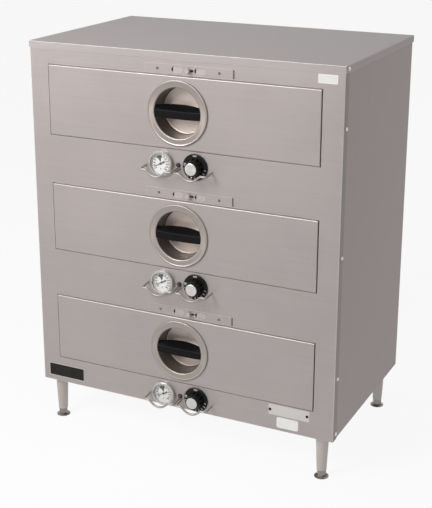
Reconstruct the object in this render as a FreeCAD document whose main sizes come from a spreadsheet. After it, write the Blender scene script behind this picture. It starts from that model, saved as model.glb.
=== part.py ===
import FreeCAD, Part
import math
import os

import Sketcher

# A free-standing food warmer with three heated drawers on four legs.
#
# Millimetres. The origin is on the floor, below the middle of the whole object. X runs to the
# right as a user faces the drawers, Y runs from front to back and Z runs up.
#
# Three local frames are used. The cabinet frame is on the front frame's face, at the middle of
# the top edge. A station is one drawer with its compartment, vent and controls, and its frame
# is on the same face, at the middle of the drawer's top edge. The base frame is on the front
# frame's face at the cabinet's bottom edge.

STATIONS = 3
BACK_SCREWS = 4

SIZES = {
    # Casing
    "cabinet_width": (737, "width over the top cover"),
    "cabinet_depth": (448, "depth over the top cover"),
    "bottom_margin": (30, "cabinet below the middle of the lowest controls"),
    "skin": (1.2, "sheet of the casing"),
    "lap": (0.2, "clearance where one sheet lies over another"),
    "bend": (1.8, "outside radius of a fold"),
    "cover_flange": (15, "depth of the top cover's turned-down edge"),
    "frame_return": (22.5, "how far the front frame wraps round each side"),
    "back_return": (18, "width of the side panels' rear flange"),
    "base_flange": (20, "height of the base pan's edge"),
    "control_way": (1, "clearance round the lowest controls in the base pan's edge"),
    # Case screws
    "screw_head": (2.2, "height of a case screw's head"),
    "screw_head_radius": (4.3, "radius of a case screw's head"),
    "screw_radius": (2.0, "radius of a case screw's shank"),
    "screw_length": (8, "length of a case screw's shank"),
    "screw_way": (0.2, "radial clearance of a screw in its hole"),
    "side_screw_setback": (15, "side screws behind the front face"),
    "end_screw_margin": (14, "lowest side screw above the cabinet's bottom edge"),
    "back_screw_margin": (32, "first back screw below the cabinet's top edge"),
    # Legs and levelling feet
    "leg_height": (102, "height of a leg with its foot"),
    "leg_inset": (34, "leg axis inside the cabinet's side"),
    "leg_front_inset": (25, "leg axis behind the front face"),
    "leg_back_inset": (38, "leg axis in front of the back panel"),
    "leg_top_radius": (14.5, "leg at its top"),
    "leg_foot_radius": (11, "leg where the foot begins"),
    "stud_radius": (4.8, "stud that holds the leg"),
    "stud_length": (13, "stud above the base pan's underside"),
    "nut_height": (6, "nut on a leg's stud"),
    "nut_radius": (9.2, "nut over its corners"),
    "foot_height": (19, "foot below the leg"),
    "foot_radius": (16, "foot's flange"),
    "foot_flange": (4.5, "thickness of the foot's flange"),
    "foot_hub_radius": (10.8, "foot's hexagon over its corners"),
    "foot_edge": (1.6, "rounding of the foot's flange"),
    "foot_stem_radius": (5, "foot's stem"),
    "foot_stem_length": (34, "foot's stem inside the leg"),
    "bore_reserve": (4, "free depth above the foot's stem"),
    "running": (0.08, "radial clearance of a turning or sliding pin"),
    "seat": (0.3, "clearance where a moving piece meets its stop"),
    # Drawers
    "drawer_side_margin": (49, "drawer front inside the cabinet's side"),
    "drawer_height": (156, "drawer front"),
    "drawer_drop": (49.5, "top drawer below the cabinet's top edge"),
    "drawer_spacing": (114, "front frame between one drawer and the next"),
    "drawer_gap": (2, "clearance round a drawer front"),
    "drawer_proud": (2.5, "drawer front ahead of the front face"),
    "drawer_depth": (44, "thickness of the hollow drawer front"),
    "drawer_edge": (2, "rounding of the drawer front's edges"),
    # Recessed handle
    "ring_margin": (7, "drawer front above and below the handle ring"),
    "ring_opening": (56.5, "handle ring, inside"),
    "ring_proud": (4.5, "handle ring ahead of the drawer front"),
    "ring_round": (3.4, "rounding of the ring's outer edge"),
    "ring_lip_round": (2.6, "rounding of the ring's inner edge"),
    "cup_depth": (36, "depth of the hand cup behind the drawer front's face"),
    "cup_floor_radius": (52.5, "floor of the hand cup"),
    "cup_sheet": (1.2, "wall of the hand cup"),
    "cup_corner": (5, "rounding between the cup's wall and floor"),
    "bar_height": (20, "handle bar's front face"),
    "bar_drop": (5, "middle of the bar's face below the ring's middle"),
    "bar_depth": (24, "handle bar from front to back at its middle"),
    "bar_end_depth": (12, "handle bar from front to back at its ends"),
    "bar_rise": (4.5, "how much the bar's top rises towards its back"),
    "bar_edge": (2.2, "rounding of the handle bar"),
    # Compartments
    "liner_wall": (1.0, "sheet of a compartment"),
    "liner_headroom": (29, "compartment above the drawer opening"),
    "liner_sump": (4, "compartment below the drawer opening"),
    "liner_flange": (12, "compartment's flange behind the front frame"),
    # Drawer slides
    "slide_sheet": (1.5, "sheet of the slides"),
    "slide_play": (0.5, "running clearance in the slides"),
    "slide_depth": (14, "cabinet channel, across the cabinet"),
    "slide_drop": (50, "slides below the drawer's top edge"),
    "slide_end_gap": (6.2, "slides in front of the compartment's back"),
    "slide_setback": (1.5, "slides behind the drawer front"),
    "rail_height": (30, "drawer rail"),
    # Drawer carriage and food pan
    "carriage_sheet": (1.5, "sheet of the carriage"),
    "carriage_height": (62, "side of the carriage"),
    "ledge_drop": (9.5, "pan ledge below the drawer's top edge"),
    "pan_length": (530, "food pan over its rim, across the cabinet"),
    "pan_width": (325, "food pan over its rim, front to back"),
    "pan_setback": (1.5, "pan rim behind the drawer front"),
    "pan_rim": (12, "width of the pan's rim"),
    "pan_rim_round": (14, "corner of the pan's rim"),
    "pan_depth": (100, "depth of the food pan"),
    "pan_corner": (40, "upright corners of the pan"),
    "pan_floor_round": (13, "rounding of the pan's floor"),
    "pan_draft": (3, "slope of the pan's walls, degrees"),
    "pan_sheet": (0.9, "wall of the pan"),
    "pan_lip": (4, "pan's turned-down lip"),
    "pan_clearance": (1.5, "carriage opening round the pan"),
    # Adjustable vents
    "vent_offset": (24.5, "vent to the right of the cabinet's middle"),
    "vent_rise": (13.5, "vent above the drawer's top edge"),
    "vent_cover_length": (204, "vent cover plate"),
    "vent_cover_height": (21, "vent cover plate"),
    "vent_cover_sheet": (1.0, "vent cover plate"),
    "window_pitch": (53.4, "between the two windows"),
    "window_length": (24.5, "window, end to end"),
    "window_radius": (6.25, "end of a window"),
    "vent_screw_pitch": (144, "between the vent's screws"),
    "vent_screw_radius": (2.0, "vent screw's shank"),
    "vent_screw_head": (1.3, "height of a vent screw's head"),
    "vent_screw_head_radius": (3.0, "radius of a vent screw's head"),
    "vent_nut_radius": (4.0, "nut on a vent screw, over its corners"),
    "vent_nut_height": (2.4, "nut on a vent screw"),
    "tab_slot": (3.3, "slot beside the vent cover's right end"),
    "shutter_height": (17, "sliding shutter"),
    "shutter_length": (170, "sliding shutter"),
    "shutter_sheet": (1.0, "sliding shutter"),
    "shutter_open": (3, "vent opening as it stands"),
    "shutter_travel": (9.5, "further travel to fully open"),
    "button_radius": (5.3, "shutter's button"),
    "button_height": (6.5, "shutter's button"),
    "button_stand": (3.5, "shutter's button ahead of the cover plate"),
    "button_edge": (1.2, "rounding of the shutter's button"),
    "stem_radius": (2.0, "stem of the shutter's button"),
    "stem_offset": (1.0, "button to the right of the vent's middle"),
    # Controls
    "control_drop": (34.5, "controls below the drawer's bottom edge"),
    "control_offset": (40.5, "controls to each side of the cabinet's middle"),
    "bezel_radius": (28, "thermometer bezel"),
    "bezel_proud": (10, "thermometer bezel"),
    "bezel_edge": (1.6, "bevel of the bezel"),
    "bezel_lip": (23.4, "clear radius of the bezel"),
    "can_radius": (25.6, "thermometer can"),
    "can_inside": (24.6, "thermometer can, inside"),
    "can_depth": (14.5, "thermometer can behind the front face"),
    "dial_setback": (6.0, "dial behind the bezel's front"),
    "dial_thickness": (0.8, "dial plate"),
    "lens_thickness": (1.4, "thermometer lens"),
    "lens_lip": (0.7, "bezel lip over the lens"),
    "needle_length": (18.5, "needle from its pivot to its tip"),
    "needle_tail": (11, "needle's tail"),
    "needle_thickness": (0.7, "needle"),
    "needle_width": (1.6, "needle beside its hub"),
    "needle_tail_width": (3.4, "end of the needle's tail"),
    "needle_stand": (1.3, "needle in front of the dial"),
    "needle_hub_radius": (2.2, "needle's hub"),
    "needle_spindle_radius": (1.0, "needle's spindle"),
    "needle_angle": (-118, "needle at rest, degrees clockwise from the top"),
    "pilot_radius": (5.2, "pilot light's collar"),
    "pilot_body_radius": (4, "pilot light's body"),
    "pilot_proud": (5.5, "pilot light's dome"),
    "pilot_depth": (18, "pilot light behind the front face"),
    "knob_skirt_radius": (29, "knob skirt"),
    "knob_skirt_thickness": (2.6, "knob skirt"),
    "knob_stand": (1.0, "knob ahead of the front face"),
    "knob_base_radius": (20.5, "grip where it leaves the skirt"),
    "knob_top_radius": (15.5, "grip at its front"),
    "knob_height": (24, "knob's front ahead of the front face"),
    "flute_radius": (4, "flute of the grip"),
    "flute_depth": (3.6, "flute of the grip where it leaves the skirt"),
    "cap_radius": (13.2, "bright disc in the knob's front"),
    "cap_thickness": (1.6, "bright disc in the knob's front"),
    "shaft_radius": (3, "thermostat shaft"),
    "shaft_reach": (18, "thermostat shaft ahead of the front face"),
    "shaft_depth": (20, "thermostat shaft behind the front face"),
    "bush_radius": (5, "thermostat's threaded bush"),
    "thermostat_width": (42, "thermostat body"),
    "thermostat_depth": (30, "thermostat body"),
    "lug_width": (6.3, "thermostat's terminal lug"),
    "lug_length": (8, "thermostat's terminal lug"),
    "lug_pitch": (18, "between the terminal lugs"),
    # Wire guards under the controls
    "guard_wire": (3.2, "thickness of the wire"),
    "guard_span": (76, "between a guard's two legs"),
    "guard_reach": (28, "front of the guard's wire ahead of the front face"),
    "guard_drop": (11, "guard's legs below the controls"),
    "guard_offset": (41, "guards to each side of the cabinet's middle"),
    "guard_corner": (5, "bend where a leg turns along the front"),
    "guard_shoulder": (13, "straight end of the guard's front"),
    "guard_dip": (20, "corner of the guard's bow below its legs"),
    "guard_shoulder_bend": (8, "bend where the bow begins"),
    "guard_bow_bend": (24, "bend at the bottom of the bow"),
    # Heaters
    "heater_radius": (4, "sheathed heating element"),
    "heater_rise": (12, "heating element's axis above the compartment's floor"),
    "heater_side_margin": (81.5, "heater loop inside the compartment's side"),
    "heater_front": (95, "heater loop behind the front face"),
    "heater_back_margin": (89.2, "heater loop's rear run in front of the compartment's back"),
    "heater_bend": (22, "bend of the heating element"),
    "heater_leads": (32, "heater's ends to each side of the middle"),
    "clip_width": (14, "heater clip"),
    "clip_foot": (8, "heater clip's foot on each side"),
    "clip_sheet": (1.0, "heater clip"),
    # Insulation and supply
    "insulation_gap": (0.5, "clearance round the insulation"),
    "insulation_thickness": (15.3, "insulation behind the compartments"),
    "insulation_front": (4, "insulation behind the front face"),
    "insulation_side_margin": (6, "insulation inside the side panel"),
    "insulation_back_margin": (8, "insulation inside the back panel"),
    "inlet_margin": (118.5, "supply inlet inside the cabinet's right side"),
    "inlet_height": (38, "supply inlet above the cabinet's bottom edge"),
    "inlet_hole": (10.5, "hole in the back panel for the inlet bushing"),
    "bushing_bore": (6, "cable way of the inlet bushing"),
    "bushing_flange": (14, "flange of the inlet bushing"),
    "bushing_flange_thickness": (2.0, "flange of the inlet bushing"),
    "bushing_length": (14, "inlet bushing inside the back panel"),
    "block_length": (66, "terminal block"),
    "block_depth": (22, "terminal block"),
    "block_height": (20, "terminal block"),
    "block_well": (10, "width of a terminal well"),
    "block_well_depth": (9, "depth of a terminal well"),
    "block_pitch": (20, "between terminal wells"),
    "block_setback": (40, "terminal block in front of the back panel"),
}

doc = FreeCAD.newDocument("food_warmer")
sheet = doc.addObject("Spreadsheet::Sheet", "sizes")


class Size:
    """A number together with the sheet formula that gives it."""

    def __init__(self, formula, value):
        self.formula = formula
        self.value = float(value)

    def joined(self, sign, other, value):
        return Size(f"({self.formula} {sign} {other.formula})", value)

    def __add__(self, other):
        other = as_size(other)
        return self.joined("+", other, self.value + other.value)

    def __sub__(self, other):
        other = as_size(other)
        return self.joined("-", other, self.value - other.value)

    def __mul__(self, other):
        other = as_size(other)
        return self.joined("*", other, self.value * other.value)

    def __truediv__(self, other):
        other = as_size(other)
        return self.joined("/", other, self.value / other.value)

    def __neg__(self):
        return Size(f"(0 - {self.formula})", -self.value)

    __radd__ = __add__
    __rmul__ = __mul__


def as_size(number):
    """Returns a Size as it is, and turns a plain number into one."""
    if isinstance(number, Size):
        return number
    return Size(f"({float(number)!r})", number)


class Sizes:
    """Gives each cell of the sheet by its name."""

    def __getattr__(self, name):
        return Size(f"sizes.{name}", SIZES[name][0])


size = Sizes()


def fill_sheet():
    """Writes the driving sizes, with what each one means beside it."""
    for row, (name, (value, meaning)) in enumerate(SIZES.items(), start=1):
        sheet.set(f"A{row}", meaning)
        sheet.set(f"B{row}", str(value))
        sheet.setAlias(f"B{row}", name)
    doc.recompute()


# Places that several sub-parts share

COVER_FIT = size.skin + size.lap
HALF_WIDTH = size.cabinet_width / 2
CASING_X = HALF_WIDTH - COVER_FIT
PANEL_X = CASING_X - COVER_FIT
CASING_DEPTH = size.cabinet_depth - 2 * COVER_FIT
BACK_INSIDE = CASING_DEPTH - size.skin
FRONT_Y = (size.guard_reach - CASING_DEPTH - size.screw_head) / 2
INLET_X = HALF_WIDTH - size.inlet_margin

PITCH = size.drawer_height + size.drawer_spacing
CONTROL_Z = -size.drawer_height - size.control_drop
CABINET_HEIGHT = size.drawer_drop + PITCH * (STATIONS - 1) - CONTROL_Z + size.bottom_margin
TOP_Z = size.leg_height + CABINET_HEIGHT

DRAWER_X = HALF_WIDTH - size.drawer_side_margin
OPENING_X = DRAWER_X + size.drawer_gap
OPENING_FLOOR = -size.drawer_height - size.drawer_gap
LINER_TOP = size.drawer_gap + size.liner_headroom
LINER_FLOOR = OPENING_FLOOR - size.liner_sump
WOOL_SPACE = size.insulation_back_margin + size.insulation_thickness + size.insulation_gap
LINER_DEPTH = BACK_INSIDE - size.skin - WOOL_SPACE
LINER_BACK = size.skin + LINER_DEPTH - size.liner_wall
DRAWER_BACK = size.drawer_depth - size.drawer_proud
SLIDE_START = DRAWER_BACK + size.slide_setback
SLIDE_LENGTH = LINER_BACK - size.slide_end_gap - SLIDE_START
CARRIAGE_X = OPENING_X - size.slide_depth - size.slide_play
CARRIAGE_BACK = SLIDE_START + SLIDE_LENGTH
PAN_FRONT = DRAWER_BACK + size.pan_setback
PAN_TOP = size.pan_lip - size.ledge_drop
RING_RADIUS = size.drawer_height / 2 - size.ring_margin
BACK_SCREW_X = PANEL_X - size.back_return / 2
SCREW_HOLE = size.screw_radius + size.screw_way
LOWEST_LINER = -size.drawer_drop - PITCH * (STATIONS - 1) + LINER_FLOOR - size.liner_wall


def station_z(number):
    """Height of a drawer's top edge, counted from 0 at the top."""
    return TOP_Z - size.drawer_drop - PITCH * number


def side_screw_heights():
    """Heights of the side screws in the cabinet frame, from the top cover's screw down."""
    first = -size.drawer_drop - size.drawer_height / 2
    beside_drawers = [first - PITCH * number for number in range(STATIONS)]
    return [-size.cover_flange / 2, *beside_drawers, size.end_screw_margin - CABINET_HEIGHT]


def back_screw_heights():
    """Heights of the back panel's screws in the cabinet frame, from the top down."""
    spacing = (CABINET_HEIGHT - 2 * size.back_screw_margin) / (BACK_SCREWS - 1)
    return [-size.back_screw_margin - spacing * number for number in range(BACK_SCREWS)]


# Sketches

VIEWS = {"top": ("XY_Plane", 1), "side": ("YZ_Plane", 1), "front": ("XZ_Plane", -1)}
START, END, CENTRE = 1, 2, 3


def bind(item, name, value):
    """Ties one property of an object to the sheet."""
    item.setExpression(name, as_size(value).formula)


def datum(profile, value, *constraint):
    """Adds a sketch dimension that follows the sheet."""
    value = as_size(value)
    number = profile.addConstraint(Sketcher.Constraint(*constraint, value.value))
    bind(profile, f"Constraints[{number}]", value)


def pin(profile, shape, point, x, y):
    """Holds one point of a sketch at x, y from the sketch's origin."""
    datum(profile, x, "DistanceX", -1, START, shape, point)
    datum(profile, y, "DistanceY", -1, START, shape, point)


def vector(x, y):
    return FreeCAD.Vector(as_size(x).value, as_size(y).value, 0)


def polygon(profile, *corners):
    """Draws straight lines through the corners and back to the first."""
    count = len(corners)
    first = profile.GeometryCount
    for number, corner in enumerate(corners):
        following = corners[(number + 1) % count]
        profile.addGeometry(Part.LineSegment(vector(*corner), vector(*following)), False)
    for number, corner in enumerate(corners):
        following = first + (number + 1) % count
        profile.addConstraint(Sketcher.Constraint("Coincident", first + number, END, following, START))
        pin(profile, first + number, START, *corner)


def rectangle(profile, left, right, low, high):
    polygon(profile, (left, low), (right, low), (right, high), (left, high))


def hexagon(profile, x, y, radius):
    """A regular hexagon, radius over its corners."""
    turns = [math.radians(60 * number) for number in range(6)]
    polygon(profile, *[(x + radius * math.cos(turn), y + radius * math.sin(turn)) for turn in turns])


def circle(profile, x, y, radius):
    radius = as_size(radius)
    ring = Part.Circle(vector(x, y), FreeCAD.Vector(0, 0, 1), radius.value)
    number = profile.addGeometry(ring, False)
    pin(profile, number, CENTRE, x, y)
    datum(profile, radius, "Radius", number)


def arcs_and_lines(profile, centres, radius):
    """Joins equal arcs about the centres, listed anticlockwise, with their outer tangent lines."""
    radius = as_size(radius)
    count = len(centres)
    turn = 2 * math.pi / count
    first = profile.GeometryCount
    offset = -math.pi / 2
    for number, centre in enumerate(centres):
        ring = Part.Circle(vector(*centre), FreeCAD.Vector(0, 0, 1), radius.value)
        begin = offset + turn * number
        profile.addGeometry(Part.ArcOfCircle(ring, begin, begin + turn), False)
    for number in range(count):
        arc = profile.Geometry[first + number]
        following = profile.Geometry[first + (number + 1) % count]
        profile.addGeometry(Part.LineSegment(arc.EndPoint, following.StartPoint), False)
    for number, centre in enumerate(centres):
        line = first + count + number
        following = first + (number + 1) % count
        profile.addConstraint(Sketcher.Constraint("Tangent", first + number, END, line, START))
        profile.addConstraint(Sketcher.Constraint("Tangent", line, END, following, START))
        pin(profile, first + number, CENTRE, *centre)
        if number:
            profile.addConstraint(Sketcher.Constraint("Equal", first, first + number))
    datum(profile, radius, "Radius", first)


def slot(profile, x, y, length, radius):
    """A level slot with round ends, length from end to end."""
    run = as_size(length) / 2 - radius
    arcs_and_lines(profile, [(x + run, y), (x - run, y)], radius)


def rounded_rectangle(profile, left, right, low, high, radius):
    centres = [(right - radius, low + radius), (right - radius, high - radius)]
    centres += [(left + radius, high - radius), (left + radius, low + radius)]
    arcs_and_lines(profile, centres, radius)


# Bodies

cuts = []
nodes = []


class Piece:
    """One sub-part, made of features that are added in turn to its body."""

    def __init__(self, label, x=0, y=0, z=0, is_node=True):
        self.body = doc.addObject("PartDesign::Body", label)
        self.body.Label = label
        self.origin = {item.Role: item for item in self.body.Origin.OriginFeatures}
        place(self.body, x, y, z)
        if is_node:
            nodes.append(self.body)

    def sketch(self, view, at=0, right=0, up=0):
        """Starts a sketch in one view, on the plane at that depth, with its origin moved in that plane."""
        role, facing = VIEWS[view]
        profile = self.body.newObject("Sketcher::SketchObject", f"{view}_profile")
        profile.AttachmentSupport = [(self.origin[role], "")]
        profile.MapMode = "FlatFace"
        for axis, distance in zip("xyz", (right, up, facing * as_size(at))):
            bind(profile, f"AttachmentOffset.Base.{axis}", distance)
        profile.addProperty("App::PropertyInteger", "Facing")
        profile.Facing = facing
        return profile

    def pad(self, profile, length, ahead=1, taper=None):
        """Fills the profile for that length, ahead along its axis or, with -1, against it."""
        feature = self.body.newObject("PartDesign::Pad", "pad")
        feature.Profile = profile
        feature.Reversed = ahead * profile.Facing < 0
        bind(feature, "Length", length)
        if taper is not None:
            bind(feature, "TaperAngle", taper)
        return feature

    def pocket(self, profile, length, ahead=1):
        """Cuts the profile away for that length, ahead along its axis or, with -1, against it."""
        base = self.body.Tip
        feature = self.body.newObject("PartDesign::Pocket", "pocket")
        feature.Profile = profile
        feature.Reversed = ahead * profile.Facing > 0
        bind(feature, "Length", length)
        cuts.append((base, feature))
        return feature

    def revolve(self, profile, axis="H_Axis"):
        feature = self.body.newObject("PartDesign::Revolution", "revolution")
        feature.Profile = profile
        feature.ReferenceAxis = (profile, [axis])
        feature.Angle = 360
        return feature

    def groove(self, profile, axis="H_Axis"):
        base = self.body.Tip
        feature = self.body.newObject("PartDesign::Groove", "groove")
        feature.Profile = profile
        feature.ReferenceAxis = (profile, [axis])
        feature.Angle = 360
        cuts.append((base, feature))
        return feature

    def line_pattern(self, feature, axis, spacing, count):
        """Sets up a row of copies along an axis of the body, against it where the spacing is negative."""
        spacing = as_size(spacing)
        backwards = spacing.value < 0
        feature.Direction = (self.origin[f"{axis}_Axis"], [""])
        feature.Reversed = backwards
        bind(feature, "Length", (-spacing if backwards else spacing) * (count - 1))
        feature.Occurrences = count
        return feature

    def row(self, copied, axis, spacing, count):
        """Repeats features in a row."""
        feature = self.body.newObject("PartDesign::LinearPattern", "row")
        self.line_pattern(feature, axis, spacing, count)
        feature.Originals = copied
        self.body.Tip = feature
        return feature

    def mirror(self, copied):
        """Repeats features on the other side of the cabinet's middle."""
        feature = self.body.newObject("PartDesign::Mirrored", "mirror")
        feature.MirrorPlane = (self.origin["YZ_Plane"], [""])
        feature.Originals = copied
        self.body.Tip = feature
        return feature

    def grid(self, copied, *rows, mirrored=False):
        """Repeats features along several axes, each given as axis, spacing and count."""
        steps = []
        for axis, spacing, count in rows:
            step = doc.addObject("PartDesign::LinearPattern", "grid_row")
            self.body.addObject(step)
            steps.append(self.line_pattern(step, axis, spacing, count))
        if mirrored:
            step = doc.addObject("PartDesign::Mirrored", "grid_mirror")
            self.body.addObject(step)
            step.MirrorPlane = (self.origin["YZ_Plane"], [""])
            steps.append(step)
        feature = self.body.newObject("PartDesign::MultiTransform", "grid")
        feature.Transformations = steps
        feature.Originals = copied
        self.body.Tip = feature
        return feature

    def ring(self, copied, axis, count):
        """Repeats features round an axis of the body."""
        feature = self.body.newObject("PartDesign::PolarPattern", "ring")
        feature.Axis = (self.origin[f"{axis}_Axis"], [""])
        feature.Angle = 360
        feature.Occurrences = count
        feature.Originals = copied
        self.body.Tip = feature
        return feature

    def fillet(self, radius, chosen):
        """Rounds the edges of the solid so far that chosen picks."""
        doc.recompute()
        base = self.body.Tip
        feature = self.body.newObject("PartDesign::Fillet", "fillet")
        names = [f"Edge{number}" for number, edge in enumerate(base.Shape.Edges, 1) if chosen(edge)]
        feature.Base = (base, names)
        bind(feature, "Radius", radius)
        return feature

    def hollow(self, inside):
        """Cuts away another body, which is made in this body's own frame."""
        base = self.body.Tip
        feature = self.body.newObject("PartDesign::Boolean", "hollow")
        feature.Type = "Cut"
        feature.setObjects([inside.body])
        cuts.append((base, feature))
        return feature


def place(item, x=0, y=0, z=0):
    """Ties a sub-part's position to the sheet."""
    for axis, distance in zip("xyz", (x, y, z)):
        bind(item, f"Placement.Base.{axis}", distance)


def cabinet_piece(label):
    return Piece(label, y=FRONT_Y, z=TOP_Z)


def station_piece(label, number=0, x=0, z=0, y=0):
    """A sub-part in a station's frame, or at a point given in it."""
    return Piece(label, x=x, y=FRONT_Y + y, z=station_z(number) + z)


def near(one, other):
    return abs(one - as_size(other).value) < 0.01


def lies_at(edge, axis, where):
    """Whether an edge lies wholly in the plane where that axis has that value, in the body's own frame."""
    box = edge.BoundBox
    return near(getattr(box, f"{axis}Min"), where) and near(getattr(box, f"{axis}Max"), where)


def is_upright(edge):
    box = edge.BoundBox
    return box.XLength < 0.01 and box.YLength < 0.01


# Casing

def cut_side_holes(piece, heights):
    """Holes for side screws, through both sides of a sheet at once."""
    holes = piece.sketch("side", -HALF_WIDTH)
    for z in heights:
        circle(holes, size.side_screw_setback, z, SCREW_HOLE)
    return piece.pocket(holes, size.cabinet_width)


def make_top_cover():
    """A flat sheet with its four edges turned down over the casing."""
    piece = cabinet_piece("top_cover")
    front = -COVER_FIT
    back = size.cabinet_depth - COVER_FIT
    outline = piece.sketch("top", -size.cover_flange)
    rectangle(outline, -HALF_WIDTH, HALF_WIDTH, front, back)
    piece.pad(outline, size.cover_flange)
    inside = piece.sketch("top", -size.cover_flange)
    half = HALF_WIDTH - size.skin
    rectangle(inside, -half, half, front + size.skin, back - size.skin)
    piece.pocket(inside, size.cover_flange - size.skin)

    def is_fold(edge):
        corner = near(abs(edge.BoundBox.XMin), HALF_WIDTH) and is_upright(edge)
        return corner or lies_at(edge, "Z", 0)

    piece.fillet(size.bend * 0.6, is_fold)
    cut_side_holes(piece, side_screw_heights()[:1])


def draw_vent_holes(profile, with_tab_slot=True):
    """Two windows, the button's slot and two screw holes, as cut in the frame and the cover plate."""
    middle = size.vent_offset
    for side in (-1, 1):
        window_x = middle + size.window_pitch / 2 * side
        slot(profile, window_x, size.vent_rise, size.window_length, size.window_radius)
        screw_x = middle + size.vent_screw_pitch / 2 * side
        circle(profile, screw_x, size.vent_rise, size.vent_screw_radius + size.screw_way)
    travel = size.shutter_open + size.shutter_travel
    slot_middle = middle + size.stem_offset + (size.shutter_travel - size.shutter_open) / 2
    way = size.stem_radius + size.seat
    slot(profile, slot_middle, size.vent_rise, travel + 2 * way, way)
    if with_tab_slot:
        left = middle + size.vent_cover_length / 2 - size.vent_cover_sheet - size.lap
        half = size.vent_cover_height / 2 - size.vent_cover_sheet
        right = left + size.tab_slot + size.vent_cover_sheet
        rectangle(profile, left, right, size.vent_rise - half, size.vent_rise + half)


def make_front_frame():
    """A sheet that wraps round both sides, with three drawer openings and the holes of three stations."""
    piece = cabinet_piece("front_frame")
    bent = piece.sketch("top", -CABINET_HEIGHT)
    inner = CASING_X - size.skin
    polygon(
        bent,
        (-CASING_X, size.frame_return), (-CASING_X, 0), (CASING_X, 0), (CASING_X, size.frame_return),
        (inner, size.frame_return), (inner, size.skin), (-inner, size.skin), (-inner, size.frame_return),
    )
    piece.pad(bent, CABINET_HEIGHT - COVER_FIT)

    def is_outer_fold(edge):
        box = edge.BoundBox
        return is_upright(edge) and near(abs(box.XMin), CASING_X) and near(box.YMin, 0)

    piece.fillet(size.bend, is_outer_fold)
    opening = piece.sketch("front", up=-size.drawer_drop)
    rectangle(opening, -OPENING_X, OPENING_X, OPENING_FLOOR, size.drawer_gap)
    holes = piece.sketch("front", up=-size.drawer_drop)
    draw_vent_holes(holes)
    circle(holes, -size.control_offset, CONTROL_Z, size.can_radius + size.seat)
    circle(holes, size.control_offset, CONTROL_Z, size.bush_radius + size.seat)
    circle(holes, as_size(0), CONTROL_Z, size.pilot_body_radius + size.seat)
    cut = [piece.pocket(profile, size.skin) for profile in (opening, holes)]
    piece.row(cut, "Z", -PITCH, STATIONS)
    cut_side_holes(piece, side_screw_heights())


def make_side_panel(label, side):
    """A flat side with its rear edge turned in behind the back panel."""
    piece = cabinet_piece(label)
    front = COVER_FIT
    back = BACK_INSIDE - size.lap
    bent = piece.sketch("top", -CABINET_HEIGHT)
    inner = PANEL_X - size.skin
    flange = PANEL_X - size.back_return
    polygon(
        bent,
        (PANEL_X * side, front), (PANEL_X * side, back), (flange * side, back),
        (flange * side, back - size.skin), (inner * side, back - size.skin), (inner * side, front),
    )
    piece.pad(bent, CABINET_HEIGHT - COVER_FIT)
    cut_side_holes(piece, side_screw_heights())
    holes = piece.sketch("front", back - size.skin)
    for z in back_screw_heights():
        circle(holes, BACK_SCREW_X * side, z, SCREW_HOLE)
    piece.pocket(holes, size.skin)


def make_back_panel():
    """A flat sheet screwed over the side panels' rear flanges, with a hole for the supply inlet."""
    piece = cabinet_piece("back_panel")
    outline = piece.sketch("front", BACK_INSIDE)
    rectangle(outline, -PANEL_X, PANEL_X, -CABINET_HEIGHT, -COVER_FIT)
    circle(outline, INLET_X, size.inlet_height - CABINET_HEIGHT, size.inlet_hole)
    for z in back_screw_heights():
        for side in (-1, 1):
            circle(outline, BACK_SCREW_X * side, z, SCREW_HOLE)
    piece.pad(outline, size.skin)


def make_base_pan():
    """A tray with its edge turned up inside the casing, with a hole for each leg's stud."""
    piece = Piece("base_pan", y=FRONT_Y, z=size.leg_height)
    half = PANEL_X - size.skin - size.lap
    front = COVER_FIT
    back = BACK_INSIDE - size.skin - 2 * size.lap
    outline = piece.sketch("top")
    rectangle(outline, -half, half, front, back)
    piece.pad(outline, size.base_flange)
    inside = piece.sketch("top", size.base_flange)
    rectangle(inside, size.skin - half, half - size.skin, front + size.skin, back - size.skin)
    piece.pocket(inside, size.base_flange - size.skin, ahead=-1)
    stud_hole = piece.sketch("top", size.skin)
    for x, y in leg_places():
        circle(stud_hole, x, y, size.stud_radius + size.lap)
    piece.pocket(stud_hole, size.skin, ahead=-1)
    controls = CABINET_HEIGHT - size.drawer_drop - PITCH * (STATIONS - 1) + CONTROL_Z
    reach = size.control_offset + size.can_radius + size.control_way
    notch = piece.sketch("front", front)
    rectangle(notch, -reach, reach, controls - size.can_radius - size.control_way, size.base_flange + 1)
    piece.pocket(notch, size.skin)
    cut_side_holes(piece, [size.end_screw_margin])


# Legs and feet

def leg_places():
    """Leg axes in the base frame: front left, front right, back left and back right."""
    x = HALF_WIDTH - size.leg_inset
    back = CASING_DEPTH - size.leg_back_inset
    return [(-x, size.leg_front_inset), (x, size.leg_front_inset), (-x, back), (x, back)]


def make_legs():
    """Four tapered legs, each with a stud above and a bore for its foot below."""
    piece = Piece("legs", y=FRONT_Y, z=size.leg_height)
    (x, front), (far_x, _), (_, back), _ = leg_places()
    profile = piece.sketch("front", front, right=x)
    low = size.foot_height - size.leg_height
    bore = size.foot_stem_radius + size.running
    bore_top = low + size.foot_stem_length + size.bore_reserve
    shoulder = size.leg_top_radius * 0.94
    polygon(
        profile,
        (0, size.stud_length), (size.stud_radius, size.stud_length), (size.stud_radius, 0),
        (shoulder, 0), (size.leg_top_radius, -size.bend), (size.leg_foot_radius, low),
        (bore, low), (bore, bore_top), (0, bore_top),
    )
    leg = piece.revolve(profile, "V_Axis")
    piece.grid([leg], ("X", far_x - x, 2), ("Y", back - front, 2))


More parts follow.
